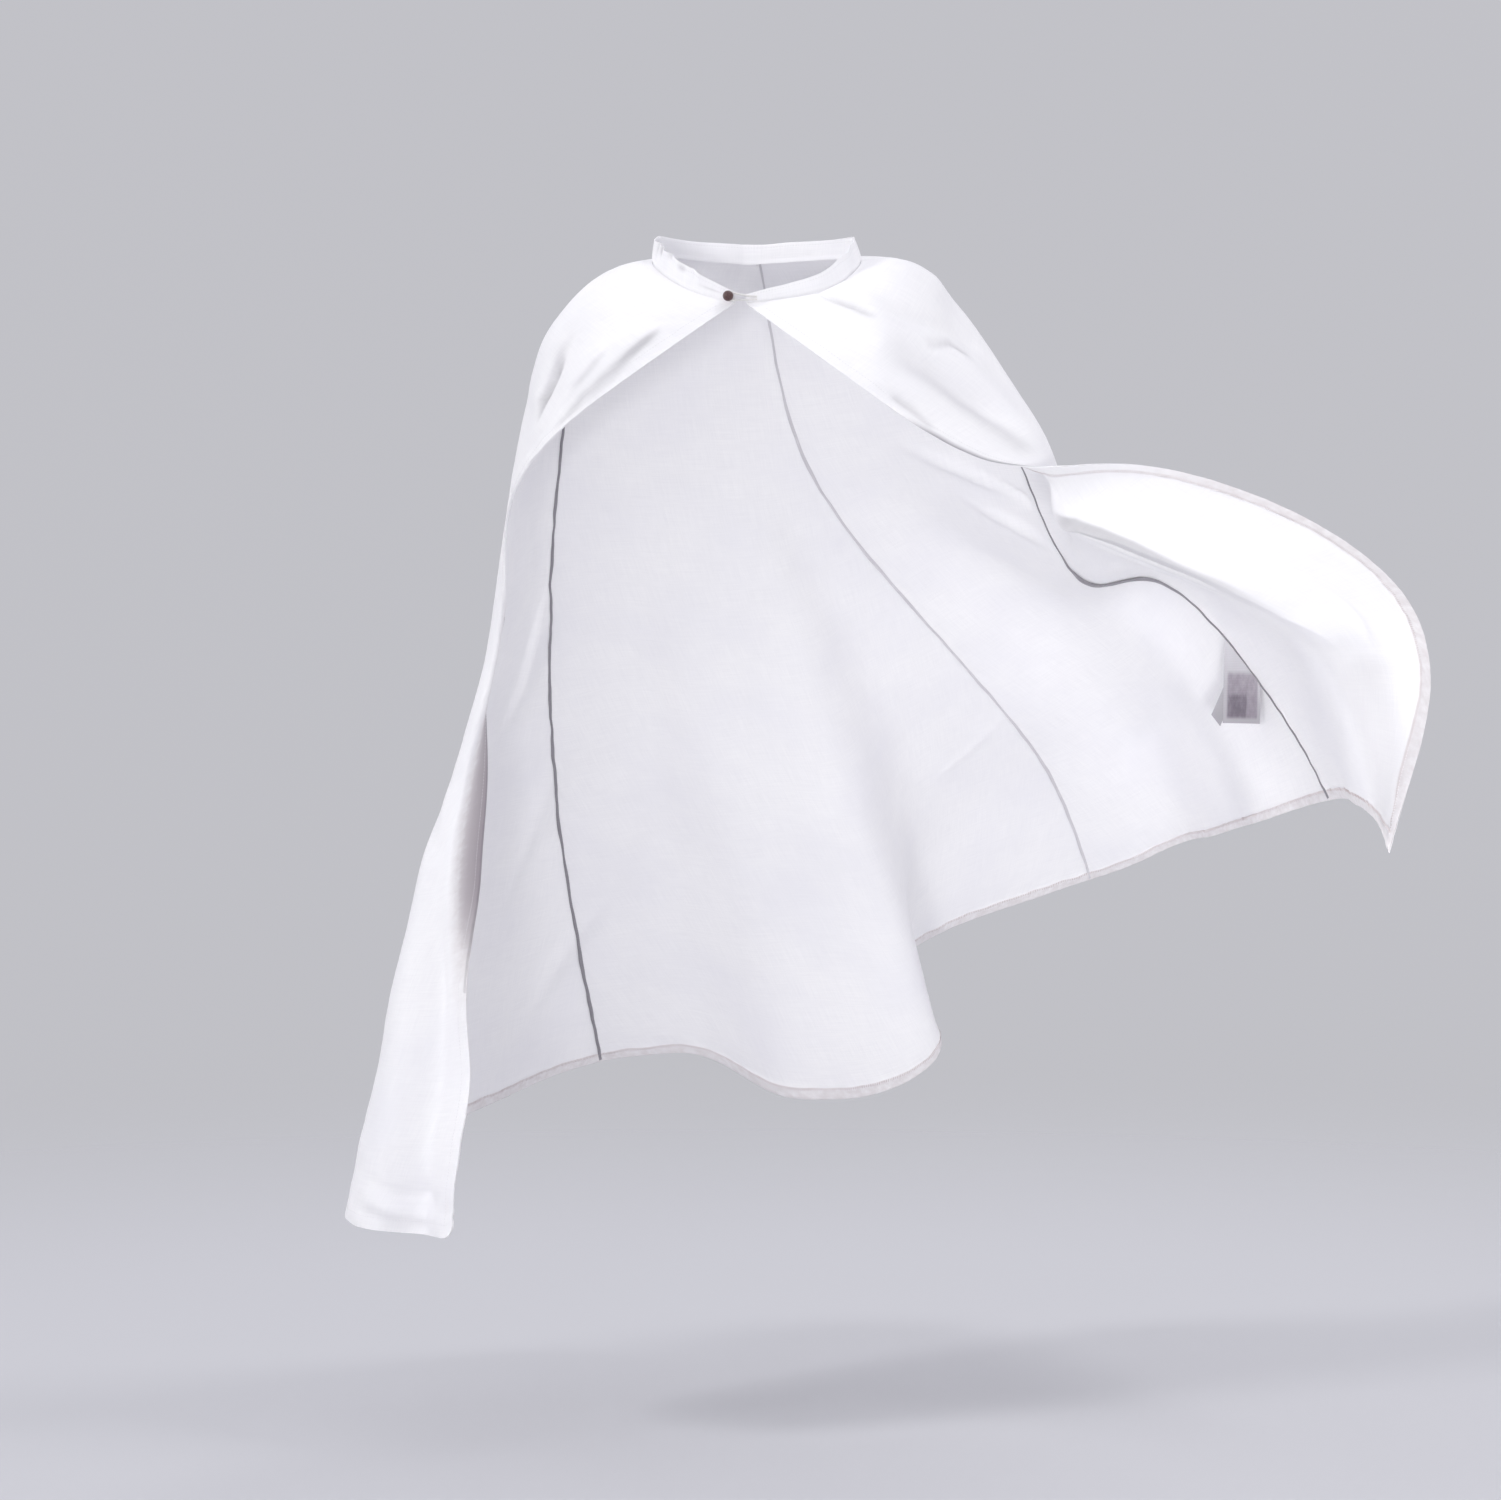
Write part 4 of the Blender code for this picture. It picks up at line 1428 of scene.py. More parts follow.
@dataclass
class Gore:
    """One cut piece of cloth between two fall lines, with its hems turned in."""

    name: str
    node: str
    first: int
    last: int
    columns: int
    first_edge: Edge
    last_edge: Edge
    flat_width: float
    flat_area: float
    close_line: float | None = None
    rows: int = 250
    wall: float = 0.9 * MM
    hem_wall: float = 2.1 * MM
    hem_step: float = 1.2 * MM
    seam_gap: float = 0.3 * MM
    foot_wall: float = 0.7
    hem_tint_fall: float = 0.42
    hem_tint_over: float = 0.14
    crowding: float = 3.0
    crowd_reach: float = 0.02
    hem_lines: tuple[float, ...] = (1.0, 0.75, 0.5, 0.25, 0.05, 0.0)
    front_columns: tuple[float, ...] = (0.0, 0.7 * MM, 4.0 * MM, 8.0 * MM, 12.0 * MM)
    front_last: float = 21.0 * MM
    seam_columns: tuple[float, ...] = (1.6 * MM, 3.2 * MM, 5.4 * MM, 9.0 * MM)

    def _border(self, edge: Edge) -> list[float]:
        """Space the columns next to an edge.

        Args:
            edge: what the edge is.

        Returns:
            The columns' distances from it, in metres.
        """
        if edge is Edge.FRONT:
            return [*self.front_columns, HEM_WIDTH, HEM_WIDTH + self.hem_step, self.front_last]
        return [0.5 * self.seam_gap, *self.seam_columns]

    def _falls(self) -> Array:
        """Space the rows evenly down to the hem, then by the hem's own lines.

        Returns:
            The falls of the rows.
        """
        band = HEM_WIDTH / CUT_LENGTH
        step = self.hem_step / CUT_LENGTH
        hem = [1.0 - part * band for part in self.hem_lines]
        return np.concatenate([np.linspace(0.0, 1.0 - band - step, self.rows), hem])

    def _columns(self, form: CapeForm, falls: Array) -> tuple[Array, Array, Array]:
        """Space the columns by real distance along each row.

        Args:
            form: the cape's surface.
            falls: the falls of the rows.

        Returns:
            The shares, the distances from the first edge, and the rows' widths.
        """
        fine = np.linspace(form.shares[self.first], form.shares[self.last], 160)
        points = form.plain(falls, np.tile(fine, (len(falls), 1)))
        run = np.zeros(points.shape[:2])
        run[:, 1:] = np.cumsum(np.linalg.norm(np.diff(points, axis=1), axis=2), axis=1)
        head, tail = self._border(self.first_edge), self._border(self.last_edge)
        shares, distances = [], []
        crowd = np.ones_like(fine)
        if self.close_line is not None:
            apart = (fine - form.share_of(self.close_line)) / self.crowd_reach
            crowd += self.crowding * np.exp(-apart ** 2)
        for row in run:
            weight = np.concatenate([[0.0], np.cumsum(np.diff(row) * 0.5 * (crowd[1:] + crowd[:-1]))])
            ends = np.interp([head[-1], row[-1] - tail[-1]], row, weight)
            middle = np.interp(np.linspace(ends[0], ends[1], self.columns)[1:-1], weight, row)
            places = np.concatenate([head, middle, row[-1] - np.array(tail[::-1])])
            distances.append(places)
            shares.append(np.interp(places, row, fine))
        return np.array(shares), np.array(distances), run[:, -1]

    def build(self, form: CapeForm, wardrobe: Wardrobe) -> None:
        """Make the gore as a closed shell of cotton.

        Args:
            form: the cape's surface.
            wardrobe: the finishes.
        """
        falls = self._falls()
        shares, distances, widths = self._columns(form, falls)
        outer = form.cloth(falls, shares)
        wall = np.full(shares.shape, self.wall)
        # worn is the inner face's hem tint, partly wear and partly painted shade; shown is the outer face's
        # painted shade on the rolled right front edge.
        worn, shown = np.zeros_like(wall), np.zeros_like(wall)
        hem = (1.0 - falls) * CUT_LENGTH <= HEM_REACH
        wall[hem] = self.hem_wall
        worn[hem] = 1.0
        for edge, apart in ((self.first_edge, distances), (self.last_edge, widths[:, None] - distances)):
            if edge is Edge.FRONT:
                turned = apart <= HEM_REACH
                wall[turned] = self.hem_wall
                worn = np.maximum(worn, turned * smooth((falls[:, None] - self.hem_tint_fall) / self.hem_tint_over))
        # Painted shade on the rolled right front edge, greatest at the edge.
        if self.first == RIGHT_EDGE:
            near = np.clip(1.0 - distances / form.roll_width, 0.0, 1.0)
            shown = (smooth(1.5 * near) + near) * form.rolled(falls)[:, None]
        wall[-1] *= self.foot_wall
        inner = outer - grid_normals(outer) * wall[..., None]
        drops = np.linalg.norm(np.diff(outer, axis=0), axis=2).mean(axis=1)
        down = np.concatenate([[0.0], np.cumsum(drops)])
        run = np.zeros(shares.shape)
        run[:, 1:] = np.cumsum(np.linalg.norm(np.diff(outer, axis=1), axis=2), axis=1)
        run -= 0.5 * run[:, -1:]
        weave = np.stack([run, np.tile(down[:, None], (1, shares.shape[1]))], axis=2)
        # Painted shade along the creases, on both faces.
        grey = tuple(form.painted_shade(falls, shares, face) for face in Side)
        tints = {"edge": (shown, worn), "hollow": grey}
        piece = link_piece(self.name, shell_mesh(self.name, outer, inner, weave, tints))
        dress(piece, wardrobe.cotton, [self.node])


GORES = (
    Gore("cloth_right_front", "gore_right_front", RIGHT_EDGE, RIGHT_SEAM, 130, Edge.FRONT, Edge.SEAM,
         0.62, 0.50, 0.15),
    Gore("cloth_right_back", "gore_right_back", RIGHT_SEAM, BACK_SEAM, 130, Edge.SEAM, Edge.SEAM, 0.68, 0.50),
    Gore("cloth_left_back", "gore_left_back", BACK_SEAM, LEFT_SEAM, 110, Edge.SEAM, Edge.SEAM, 0.68, 0.50),
    Gore("cloth_left_front", "gore_left_front", LEFT_SEAM, LEFT_EDGE, 180, Edge.SEAM, Edge.FRONT,
         0.62, 0.50, 13.03),
)


@dataclass(frozen=True)
class Seam:
    """One seam: its fall line, whether its thread is pale, and how full it is as (fall, times) pairs."""

    name: str
    line: int
    pale: bool
    full: tuple[tuple[float, float], ...]


@dataclass
class Seams:
    """The three seams' allowances inside the cape, each overlocked together."""

    half_width: float = 1.7 * MM
    thickness: float = 1.2 * MM
    wall: float = 0.9 * MM
    sink: float = 0.42
    ends: tuple[float, float] = (0.006, 0.997)
    waver: WaveField = WaveField(SEED + 8, 0.03, 0.11, 0.8 * MM)
    fullness: WaveField = WaveField(SEED + 9, 0.06, 0.30, 0.28)
    overlock: StitchRow = StitchRow(2.1, 4.0, 0.85, 0.6, 72.0)
    seams: tuple[Seam, ...] = (
        Seam("right", RIGHT_SEAM, False, ((0.0, 1.2), (1.0, 1.5))),
        Seam("back", BACK_SEAM, True, ((0.0, 1.0), (1.0, 1.3))),
        Seam("left", LEFT_SEAM, False, ((0.42, 0.9), (0.50, 2.8), (0.60, 2.4), (0.70, 1.4), (1.0, 1.3))),
    )

    def _section(self) -> Array:
        """Return the allowance's rounded section, across the seam and off the cloth."""
        turn = np.linspace(0.0, 2.0 * math.pi, 11)[:-1]
        return np.stack([self.half_width * np.cos(turn), 0.5 * self.thickness * np.sin(turn)], axis=1)

    def build(self, form: CapeForm, wardrobe: Wardrobe) -> None:
        """Make the allowances and their overlocking.

        Args:
            form: the cape's surface.
            wardrobe: the finishes.
        """
        falls = np.linspace(*self.ends, 420)
        for seam in self.seams:
            thread = wardrobe.pale_thread if seam.pale else wardrobe.grey_thread
            points, normals = form.spots(falls, np.full(len(falls), form.shares[seam.line]))
            side = unit(np.cross(unit(np.gradient(points, axis=0)), normals))
            full = np.interp(falls, *zip(*seam.full)) * (1.0 + self.fullness.at(points))
            sunk = self.sink * self.thickness * full
            middle = points - normals * (self.wall + sunk)[:, None]
            middle += side * self.waver.at(points)[:, None]
            name = seam.name + "_seam_allowance"
            dress(link_piece(name, tube_mesh(name, middle, side, -normals, self._section(), full)), thread)
            path = ThreadPath(middle - normals * sunk[:, None], -normals)
            dress(self.overlock.lay(seam.name + "_seam_overlock", [path], thread), thread)


@dataclass
class Hems:
    """The stitching of the turned hems: a straight row on both faces, the overlocked raw edge inside, and a
    grey overlock row on the rolled right front edge that stands as painted shadow.
    """

    row: float = 13.2 * MM
    raw_edge: float = 14.6 * MM
    rolled_row: float = 3.0 * MM
    rolled_falls: tuple[float, float] = (0.43, 0.80)
    top_fall: float = 0.012
    hem_wall: float = 2.1 * MM
    thread_off: float = 0.05 * MM
    topstitch: StitchRow = StitchRow(4.2, 3.1, 0.75, 0.55)
    overlock: StitchRow = StitchRow(2.6, 5.2, 0.9, 0.6, 70.0)

    def _path(self, form: CapeForm, falls: Array, shares: Array, side: Side) -> ThreadPath:
        """Lead a thread along places of the cloth.

        Args:
            form: the cape's surface.
            falls: the falls of the places.
            shares: their shares.
            side: the face of the cloth that the thread lies on.

        Returns:
            The thread's path.
        """
        points, normals = form.spots(falls, shares)
        off = self.thread_off if side is Side.OUTSIDE else -self.hem_wall - self.thread_off
        return ThreadPath(points + normals * off, normals * side.value)

    def _round(self, form: CapeForm, distance: float, side: Side) -> list[ThreadPath]:
        """Lead threads along both front edges and the hem.

        Args:
            form: the cape's surface.
            distance: how far they are from the edges, in metres.
            side: the face of the cloth that they lie on.

        Returns:
            The threads' paths.
        """
        foot = 1.0 - distance / CUT_LENGTH
        falls = np.linspace(self.top_fall, foot, 360)
        ends = np.array([foot])
        first = form.edge_shares(ends, distance, False)[0]
        last = form.edge_shares(ends, distance, True)[0]
        along = np.linspace(first, last, 900)
        return [
            self._path(form, falls, form.edge_shares(falls, distance, False), side),
            self._path(form, np.full(len(along), foot), along, side),
            self._path(form, falls, form.edge_shares(falls, distance, True), side),
        ]

    def build(self, form: CapeForm, wardrobe: Wardrobe) -> None:
        """Lay the hem's stitches.

        Args:
            form: the cape's surface.
            wardrobe: the finishes.
        """
        rows = self._round(form, self.row, Side.OUTSIDE) + self._round(form, self.row, Side.INSIDE)
        dress(self.topstitch.lay("hem_stitches", rows, wardrobe.white_thread), wardrobe.white_thread)
        # Grey overlock on the outside of the rolled right front edge: a dark line of painted shadow along
        # that edge.
        falls = np.linspace(*self.rolled_falls, 150)
        rolled = [self._path(form, falls, form.edge_shares(falls, self.rolled_row, False), Side.OUTSIDE)]
        dress(self.overlock.lay("rolled_edge_shadow_overlock", rolled, wardrobe.grey_thread), wardrobe.grey_thread)
        raw = self._round(form, self.raw_edge, Side.INSIDE)
        dress(self.overlock.lay("hem_overlock", raw, wardrobe.beige_thread), wardrobe.beige_thread)


@dataclass
class Collar:
    """The low stand collar: one doubled band round the neck, open at the front."""

    columns: int = 260
    rows: int = 18
    wall: float = 1.4 * MM
    rim_wall: float = 0.7
    skirt: float = 0.14
    lift: float = 1.0 * MM
    tuck: float = 1.56 * MM
    tuck_rise: float = 0.12
    tuck_over: float = 0.2
    lean_power: float = 1.5
    weave_height: float = 27.0 * MM
    stitch_rise: float = 0.80
    waver: WaveField = WaveField(SEED + 5, 0.035, 0.09, 1.0 * MM)
    height: NaturalSpline = field(init=False)
    lean: NaturalSpline = field(init=False)
    topstitch: StitchRow = StitchRow(3.6, 2.6, 0.6, 0.45)

    def __post_init__(self) -> None:
        """Set up the collar's height and lean round the neck."""
        knots = [section.bearing for section in COLLAR_SECTIONS]
        self.height = NaturalSpline(knots, np.array([section.height for section in COLLAR_SECTIONS]) * MM)
        self.lean = NaturalSpline(knots, np.array([section.lean for section in COLLAR_SECTIONS]) * MM)

    def _bearing(self, form: CapeForm, shares: Array) -> Array:
        """Return the bearings round the neck at shares, in degrees."""
        return NaturalSpline(form.shares, np.array([line.bearing for line in FALL_LINES], float)).at(shares)

    def _painted_shade(self, bearing: Array, rises: Array) -> Array:
        """Take the painted shade of the outer face in the collar's pinches.

        Args:
            bearing: the bearings round the neck, in degrees.
            rises: the places up the collar.

        Returns:
            The grey from 0 to 1, rises by bearings.
        """
        grey = np.zeros((len(rises), len(bearing)))
        for mark in COLLAR_SHADE_SPOTS:
            aside = (bearing - mark.bearing) / mark.width
            above = (rises[:, None] - mark.rise) / mark.height
            grey = np.maximum(grey, mark.amount * np.exp(-(aside ** 2 + above ** 2)))
        return grey

    def band(self, form: CapeForm, shares: Array, rises: Array) -> Array:
        """Take the collar's outer face.

        Args:
            form: the cape's surface.
            shares: the places round the neck.
            rises: the places up the collar, 0 at the neck seam and 1 at the rim.

        Returns:
            Points, rises by shares by (x, y, z).
        """
        bearing = self._bearing(form, shares)
        ring = form.plain(np.zeros(1), shares[None])[0]
        bulge = np.zeros_like(shares)
        for pinch in COLLAR_PINCHES:
            bulge += pinch.depth * MM * np.exp(-((bearing - pinch.bearing) / pinch.width) ** 2)
        waver = self.waver.at(ring)
        rise = rises[:, None]
        up = np.maximum(rise, 0.0)
        tucked = self.tuck * smooth((self.tuck_rise - rise) / self.tuck_over)
        shift = self.lean.at(bearing) * up ** self.lean_power + (bulge + waver) * up - tucked
        points = ring[None] + outward(bearing)[None] * shift[..., None]
        points[..., 2] += self.lift + (self.height.at(bearing) + 0.5 * waver) * rise
        return points

    def build(self, form: CapeForm, wardrobe: Wardrobe) -> None:
        """Make the collar and its row of stitches.

        Args:
            form: the cape's surface.
            wardrobe: the finishes.
        """
        fine = np.linspace(0.0, 1.0, 600)
        ring = form.plain(np.zeros(1), fine[None])[0]
        run = run_along(ring)
        across = np.linspace(0.0, run[-1], self.columns)
        shares = np.interp(across, run, fine)
        rises = np.linspace(1.0, -self.skirt, self.rows)
        outer = self.band(form, shares, rises)
        normals = grid_normals(outer)
        wall = np.full(self.rows, self.wall)
        wall[0] *= self.rim_wall
        inner = outer - normals * wall[:, None, None]
        weave = np.stack(np.meshgrid(across, -rises * self.weave_height), axis=2)
        # Painted shade in the collar's pinches, on the outer face only.
        grey = self._painted_shade(self._bearing(form, shares), rises)
        tints = {"hollow": (grey, np.zeros_like(grey))}
        piece = link_piece("cloth_collar", shell_mesh("cloth_collar", outer, inner, weave, tints))
        dress(piece, wardrobe.cotton, ["collar"])
        row = int(np.argmin(np.abs(rises - self.stitch_rise)))
        paths = [ThreadPath(outer[row, 3:-3], normals[row, 3:-3]),
                 ThreadPath(inner[row, 3:-3], -normals[row, 3:-3])]
        dress(self.topstitch.lay("collar_stitches", paths, wardrobe.white_thread), wardrobe.white_thread)


@dataclass
class Clasp:
    """The bead on the wearer's right front and the cord loop that holds it from the left."""

    bead_diameter: float = 13.0 * MM
    bead_bearing: float = 15.0
    bead_above_seam: float = 7.0 * MM
    bead_stand_off: float = 1.5 * MM
    bead_hole: float = 1.3 * MM
    hole_depth: float = 0.35
    bead_lines: tuple[float, float] = (1.25, 1.9)
    bead_line_width: float = 0.035
    bead_line_depth: float = 0.03
    shank_diameter: float = 2.0 * MM
    shank_twist: float = 3.0 * MM
    shank_root: float = 0.6 * MM
    shank_inset: float = 4.5 * MM
    cord_diameter: float = 2.4 * MM
    cord_start: float = 0.0
    cord_gap: float = 0.5 * MM
    strands: int = 3
    twist: float = 7.0 * MM
    strand_press: float = 1.06
    legs: tuple[tuple[float, float], ...] = ((4.0, 0.5 * MM), (8.0, 1.6 * MM))
    loop_turn: float = 115.0
    tack: StitchRow = StitchRow(0.8, 3.4, 0.6, 0.6, 90.0)

    def _bead(self, centre: Array) -> bpy.types.Mesh:
        """Turn the bead: a ball with a drilled hole and two fine turned lines.

        Args:
            centre: the bead's middle.

        Returns:
            The bead's mesh.
        """
        radius = 0.5 * self.bead_diameter
        profile = [(self.bead_hole, -self.hole_depth * radius)]
        lowest = math.asin(self.bead_hole / radius)
        for turn in np.linspace(lowest, math.pi - lowest, 41):
            line = sum(math.exp(-((turn - at) / self.bead_line_width) ** 2) for at in self.bead_lines)
            r = radius * (1.0 - self.bead_line_depth * line)
            profile.append((r * math.sin(turn), -r * math.cos(turn)))
        profile.append((self.bead_hole, self.hole_depth * radius))
        spun = bmesh.new()
        verts = [spun.verts.new((x, 0.0, z)) for x, z in profile]
        edges = [spun.edges.new(pair) for pair in zip(verts[:-1], verts[1:])]
        bmesh.ops.spin(spun, geom=verts + edges, axis=(0, 0, 1), cent=(0, 0, 0), steps=40,
                       angle=2.0 * math.pi, use_merge=True)
        bmesh.ops.remove_doubles(spun, verts=spun.verts[:], dist=1e-6)
        rims = [e for e in spun.edges if e.is_boundary]
        bmesh.ops.holes_fill(spun, edges=rims, sides=0)
        bmesh.ops.recalc_face_normals(spun, faces=spun.faces[:])
        bmesh.ops.translate(spun, verts=spun.verts[:], vec=Vector(centre))
        mesh = bpy.data.meshes.new("bead")
        spun.to_mesh(mesh)
        spun.free()
        return shade(mesh, BEAD_RIM)

    def _twisted(self, name: str, path: Array, diameter: float, pitch: float) -> bpy.types.Mesh:
        """Make a cord of twisted strands.

        Args:
            name: the mesh's name.
            path: the cord's middle line, close points.
            diameter: the whole cord's diameter.
            pitch: the length of one full twist.

        Returns:
            The strands as one mesh.
        """
        tangent = unit(np.gradient(path, axis=0))
        side = np.zeros_like(path)
        start = np.cross(tangent[0], (0.3, 0.5, 0.8))
        side[0] = start / np.linalg.norm(start)
        for i in range(1, len(path)):
            side[i] = side[i - 1] - tangent[i] * np.dot(side[i - 1], tangent[i])
            side[i] /= np.linalg.norm(side[i])
        up = np.cross(tangent, side)
        run = run_along(path)
        thick = diameter / (1.0 + 1.0 / math.sin(math.pi / self.strands))
        offset = 0.5 * diameter - thick
        turn = np.linspace(0.0, 2.0 * math.pi, 9)[:-1]
        section = np.stack([np.cos(turn), np.sin(turn)], axis=1) * thick * self.strand_press
        tubes = []
        for number in range(self.strands):
            angle = 2.0 * math.pi * (run / pitch + number / self.strands)
            strand = path + (side * np.cos(angle)[:, None] + up * np.sin(angle)[:, None]) * offset
            way = unit(np.gradient(strand, axis=0))
            right = unit(np.cross(way, up + 0.01))
            tubes.append(tube_mesh(name, strand, right, np.cross(way, right), section))
        return join_meshes(name, tubes)

    def _loop_path(self, form: CapeForm) -> Array:
        """Lead the cord out from the collar's left end, round the bead and back.

        Args:
            form: the cape's surface.

        Returns:
            The points of the cord's middle line.
        """
        off = 0.5 * self.cord_diameter + 2.0 * self.cord_gap
        reach = 0.5 * (self.bead_diameter + self.cord_diameter) + self.cord_gap
        ring = math.sqrt(reach ** 2 - (0.5 * self.bead_diameter + self.bead_stand_off - off) ** 2)
        around = form.neck_ring(self.bead_bearing + 0.5) - form.neck_ring(self.bead_bearing - 0.5)
        degree = np.linalg.norm(around)
        strand = 0.5 * self.cord_diameter + self.cord_gap
        flat = [(self.cord_start, strand)] + [(bearing, strand + apart) for bearing, apart in self.legs]
        for angle in np.radians(np.linspace(self.loop_turn, -self.loop_turn, 13)):
            flat.append((self.bead_bearing + ring * math.cos(angle) / degree, ring * math.sin(angle)))
        flat += [(bearing, -height) for bearing, height in reversed(flat[:3])]
        corners = []
        for bearing, height in flat:
            place = form.neck_ring(bearing) + outward(bearing) * off
            corners.append(place + np.array([0.0, 0.0, self.bead_above_seam + height]))
        corners = np.array(corners)
        run = run_along(corners)
        return NaturalSpline(run, corners).at(np.linspace(0.0, run[-1], 260))

    def build(self, form: CapeForm, wardrobe: Wardrobe) -> None:
        """Make the bead, its thread shank, the loop, and the tacks that hold the loop's ends.

        Args:
            form: the cape's surface.
            wardrobe: the finishes.
        """
        out = outward(self.bead_bearing)
        ring = form.neck_ring(self.bead_bearing) + np.array([0.0, 0.0, self.bead_above_seam])
        centre = ring + out * (0.5 * self.bead_diameter + self.bead_stand_off)
        dress(link_piece("bead", self._bead(centre)), wardrobe.wood, ["clasp_bead"])
        root, tip = ring - out * self.shank_root, centre - out * self.shank_inset
        shank = root + np.linspace(0.0, 1.0, 24)[:, None] * (tip - root)
        cord = self._twisted("bead_shank", shank, self.shank_diameter, self.shank_twist)
        dress(link_piece("bead_shank", cord), wardrobe.cord)
        path = self._loop_path(form)
        loop = link_piece("loop_cord", self._twisted("loop_cord", path, self.cord_diameter, self.twist))
        dress(loop, wardrobe.cord, ["clasp_loop"])
        tacks = []
        for end in (path[4:16], path[-16:-4]):
            faces = np.tile(outward(self.cord_start + 1.0), (len(end), 1))
            tacks.append(ThreadPath(end + faces * 0.45 * self.cord_diameter, faces))
        dress(self.tack.lay("loop_tacks", tacks, wardrobe.cord), wardrobe.cord)


@dataclass
class CareLabel:
    """The blank care label and a narrow second tab, both sewn into the left seam on the inside."""

    label_falls: tuple[float, float] = (0.775, 0.846)
    label_foot: float = -593.0 * MM
    tab_falls: tuple[float, float] = (0.800, 0.817)
    tab_length: float = 93.0 * MM
    wall: float = 0.55 * MM
    off_seam: float = 2.4 * MM
    cloth_wall: float = 1.5 * MM
    back_swing: float = 0.20
    tab_swing: float = 0.34
    tab_back: float = 0.14
    tab_drop: float = 0.88
    bow: float = 4.0 * MM
    label_curl: float = 3.0 * MM
    tab_curl: float = 2.0 * MM
    curl_middle: float = 0.4
    off_panels: float = 1.5

    def _hang(self, form: CapeForm, falls: tuple[float, float], foot: Callable[[Array], Array],
              curl: float, seed: int) -> tuple[Array, Array, Array]:
        """Hang a tape from the left seam.

        Args:
            form: the cape's surface.
            falls: where it starts and ends along the seam.
            foot: gives a top point's place at the lower edge.
            curl: how far its lower corners curl forward, in metres.
            seed: the seed of its small waves.

        Returns:
            The front grid, the back grid and the tape map.
        """
        spread = np.linspace(falls[0], falls[1], 26)
        points, normals = form.spots(spread, np.full(len(spread), form.shares[LEFT_SEAM]))
        tops = points - normals * (self.cloth_wall + self.off_seam - form.seam_dip)
        feet = np.array([foot(top) for top in tops])
        down = np.linspace(0.0, 1.0, 34)[:, None, None]
        sheet = tops[None] + (feet - tops)[None] * down
        across = np.linspace(0.0, 1.0, len(spread))[None, :]
        hung = down[..., 0]
        curled = curl * hung ** 3 * (2.0 * np.abs(across - self.curl_middle)) ** 2
        bow = self.bow * np.sin(math.pi * hung) + curled
        sheet[..., 1] -= bow + WaveField(seed, 0.02, 0.05, 0.7 * MM).at(sheet) * hung
        normal = grid_normals(sheet)
        if normal[len(normal) // 2, len(spread) // 2, 1] > 0.0:
            normal = -normal
        top, low = sheet[..., 2].max(), sheet[..., 2].min()
        places = np.broadcast_arrays(across, (top - sheet[..., 2]) / (top - low))
        return sheet, sheet - normal * self.wall, np.stack(places, axis=2).copy()

    def _piece(self, name: str, grids: tuple[Array, Array, Array], wardrobe: Wardrobe, node: str) -> None:
        """Make a hung tape as a piece.

        Args:
            name: the piece's name.
            grids: its front grid, its back grid and its tape map.
            wardrobe: the finishes.
            node: the solid that it stands for.
        """
        front, back, tape = grids
        mesh = shell_mesh(name, front, back, tape)
        whole = bmesh.new()
        whole.from_mesh(mesh)
        bmesh.ops.recalc_face_normals(whole, faces=whole.faces[:])
        whole.to_mesh(mesh)
        whole.free()
        piece = link_piece(name, mesh)
        dress(piece, wardrobe.tape, [node])

    def build(self, form: CapeForm, wardrobe: Wardrobe) -> None:
        """Make the label and the tab.

        Args:
            form: the cape's surface.
            wardrobe: the finishes.
        """
        def label_foot(top: Array) -> Array:
            """Return the label's lower edge under a top point: level, and swung back."""
            return np.array([top[0], top[1] + self.back_swing * (top[2] - self.label_foot), self.label_foot])

        def tab_foot(top: Array) -> Array:
            """Return the tab's lower edge under a top point."""
            way = np.array([-self.tab_swing, self.back_swing + self.tab_back, -self.tab_drop])
            return top + self.tab_length * way

        label = self._hang(form, self.label_falls, label_foot, self.label_curl, SEED + 6)
        self._piece("label_tape", label, wardrobe, "care_label")
        front, back, tape = self._hang(form, self.tab_falls, tab_foot, self.tab_curl, SEED + 7)
        # The tab stays plain: its map lies beside the label's two panels.
        tape[..., 0] -= self.off_panels
        self._piece("tab_tape", (front, back, tape), wardrobe, "care_tab")


@dataclass(frozen=True)
class Lamp:
    """One round area light: its place and target, its size in metres, its watts and its beam in degrees."""

    name: str
    place: Place
    target: Place
    size: float
    power: float
    beam: float


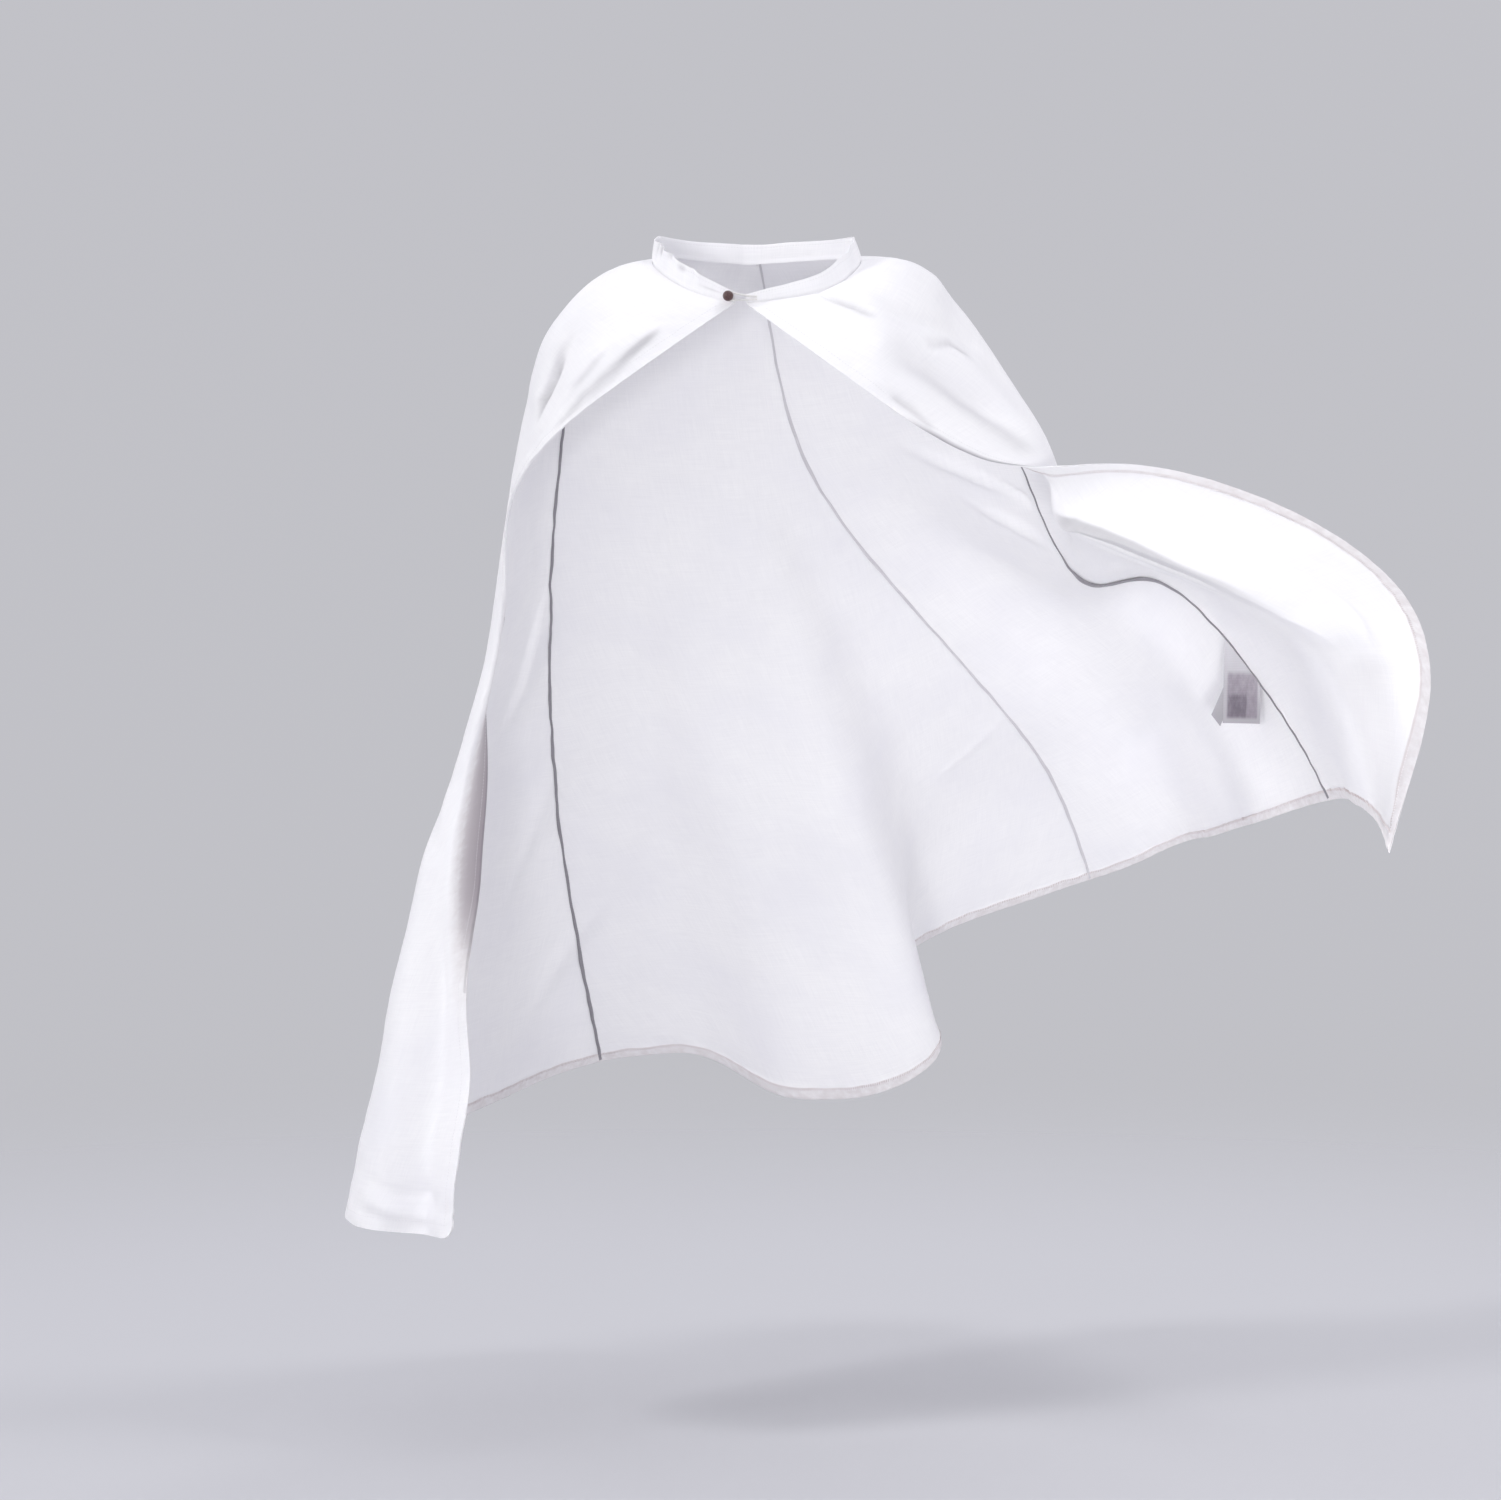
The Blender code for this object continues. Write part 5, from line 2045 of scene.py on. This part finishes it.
@dataclass
class Studio:
    """A plain pale floor, soft light from above and the front, and the camera at the viewing angle."""

    floor_height: float = -1.50
    floor_radius: float = 4.5
    eye: Place = (-0.008, -7.0, -0.15)
    aim: Place = (-0.008, 0.0, -0.60)
    lens: float = 134.3
    sky: str = "#f3f3fa"
    sky_sides: tuple[tuple[Place, float], ...] = (
        ((0.0, 0.0, 1.0), 1.1),
        ((0.0, 0.0, -1.0), 0.1),
        ((-1.0, 0.0, 0.0), 0.5),
        ((1.0, 0.0, 0.0), 0.7),
        ((0.0, -1.0, 0.0), 0.42),
        ((0.0, 1.0, 0.0), 0.6),
    )
    lamps: tuple[Lamp, ...] = (
        Lamp("key", (-5.6, -2.2, 2.4), (0.1, 0.2, -0.5), 1.2, 132.0, 180.0),
        Lamp("overhead", (2.4, -0.8, 3.8), (0.1, 0.2, -0.5), 1.2, 40.0, 180.0),
        Lamp("left fill", (-1.0, -4.6, -0.5), (0.7, 0.25, -0.7), 0.8, 3.4, 38.0),
        Lamp("right fill", (0.9, -3.6, -1.3), (0.55, 0.25, -0.8), 0.8, 3.0, 42.0),
        Lamp("behind", (1.8, 4.6, 2.4), (0.1, 0.2, -0.5), 1.6, 30.0, 180.0),
    )

    def _aimed(self, item: bpy.types.Object, place: Place, target: Place) -> None:
        """Put a light or camera in the scene.

        Args:
            item: the light or camera.
            place: where it stands.
            target: what it is turned to.
        """
        item.location = place
        item.rotation_euler = (Vector(target) - Vector(place)).to_track_quat("-Z", "Y").to_euler()
        bpy.context.scene.collection.objects.link(item)

    def _world(self) -> None:
        """Light the scene from all round, with a strength of its own for each of the six sides."""
        world = bpy.data.worlds.new("studio")
        world.use_nodes = True
        tree = world.node_tree
        way = add_node(tree, "ShaderNodeTexCoord").outputs["Generated"]
        total = 0.0
        for side, strength in self.sky_sides:
            facing = add_node(tree, "ShaderNodeVectorMath", {"operation": "DOT_PRODUCT"}, {0: way, 1: side})
            part = calculate(tree, "MAXIMUM", facing.outputs["Value"], 0.0)
            total = calculate(tree, "MULTIPLY_ADD", calculate(tree, "POWER", part, 2.0), strength, total)
        set_inputs(tree, tree.nodes["Background"], {"Color": hex_colour(self.sky), "Strength": total})
        bpy.context.scene.world = world

    def build(self) -> None:
        """Make the camera, the lights, the world and the floor."""
        scene = bpy.context.scene
        camera_data = bpy.data.cameras.new("camera")
        camera_data.lens = self.lens
        camera = bpy.data.objects.new("camera", camera_data)
        self._aimed(camera, self.eye, self.aim)
        scene.camera = camera
        scene.view_settings.view_transform = "Standard"
        for lamp in self.lamps:
            light = bpy.data.lights.new(lamp.name, "AREA")
            light.shape = "DISK"
            light.size = lamp.size
            light.energy = lamp.power
            light.spread = math.radians(lamp.beam)
            self._aimed(bpy.data.objects.new(lamp.name, light), lamp.place, lamp.target)
        self._world()
        disc = bmesh.new()
        bmesh.ops.create_circle(disc, cap_ends=True, segments=96, radius=self.floor_radius)
        mesh = bpy.data.meshes.new("floor")
        disc.to_mesh(mesh)
        disc.free()
        floor = link_piece("floor", mesh)
        floor.location.z = self.floor_height
        mesh.materials.append(FloorFinish().material())


def main() -> None:
    """Build every piece round the frame."""
    logging.basicConfig(level=logging.INFO, format="%(name)s: %(message)s")
    Studio().build()
    form = CapeForm()
    wardrobe = Wardrobe.stocked()
    for gore in GORES:
        gore.build(form, wardrobe)
    Seams().build(form, wardrobe)
    Hems().build(form, wardrobe)
    Collar().build(form, wardrobe)
    Clasp().build(form, wardrobe)
    CareLabel().build(form, wardrobe)


if __name__ == "__main__":
    main()
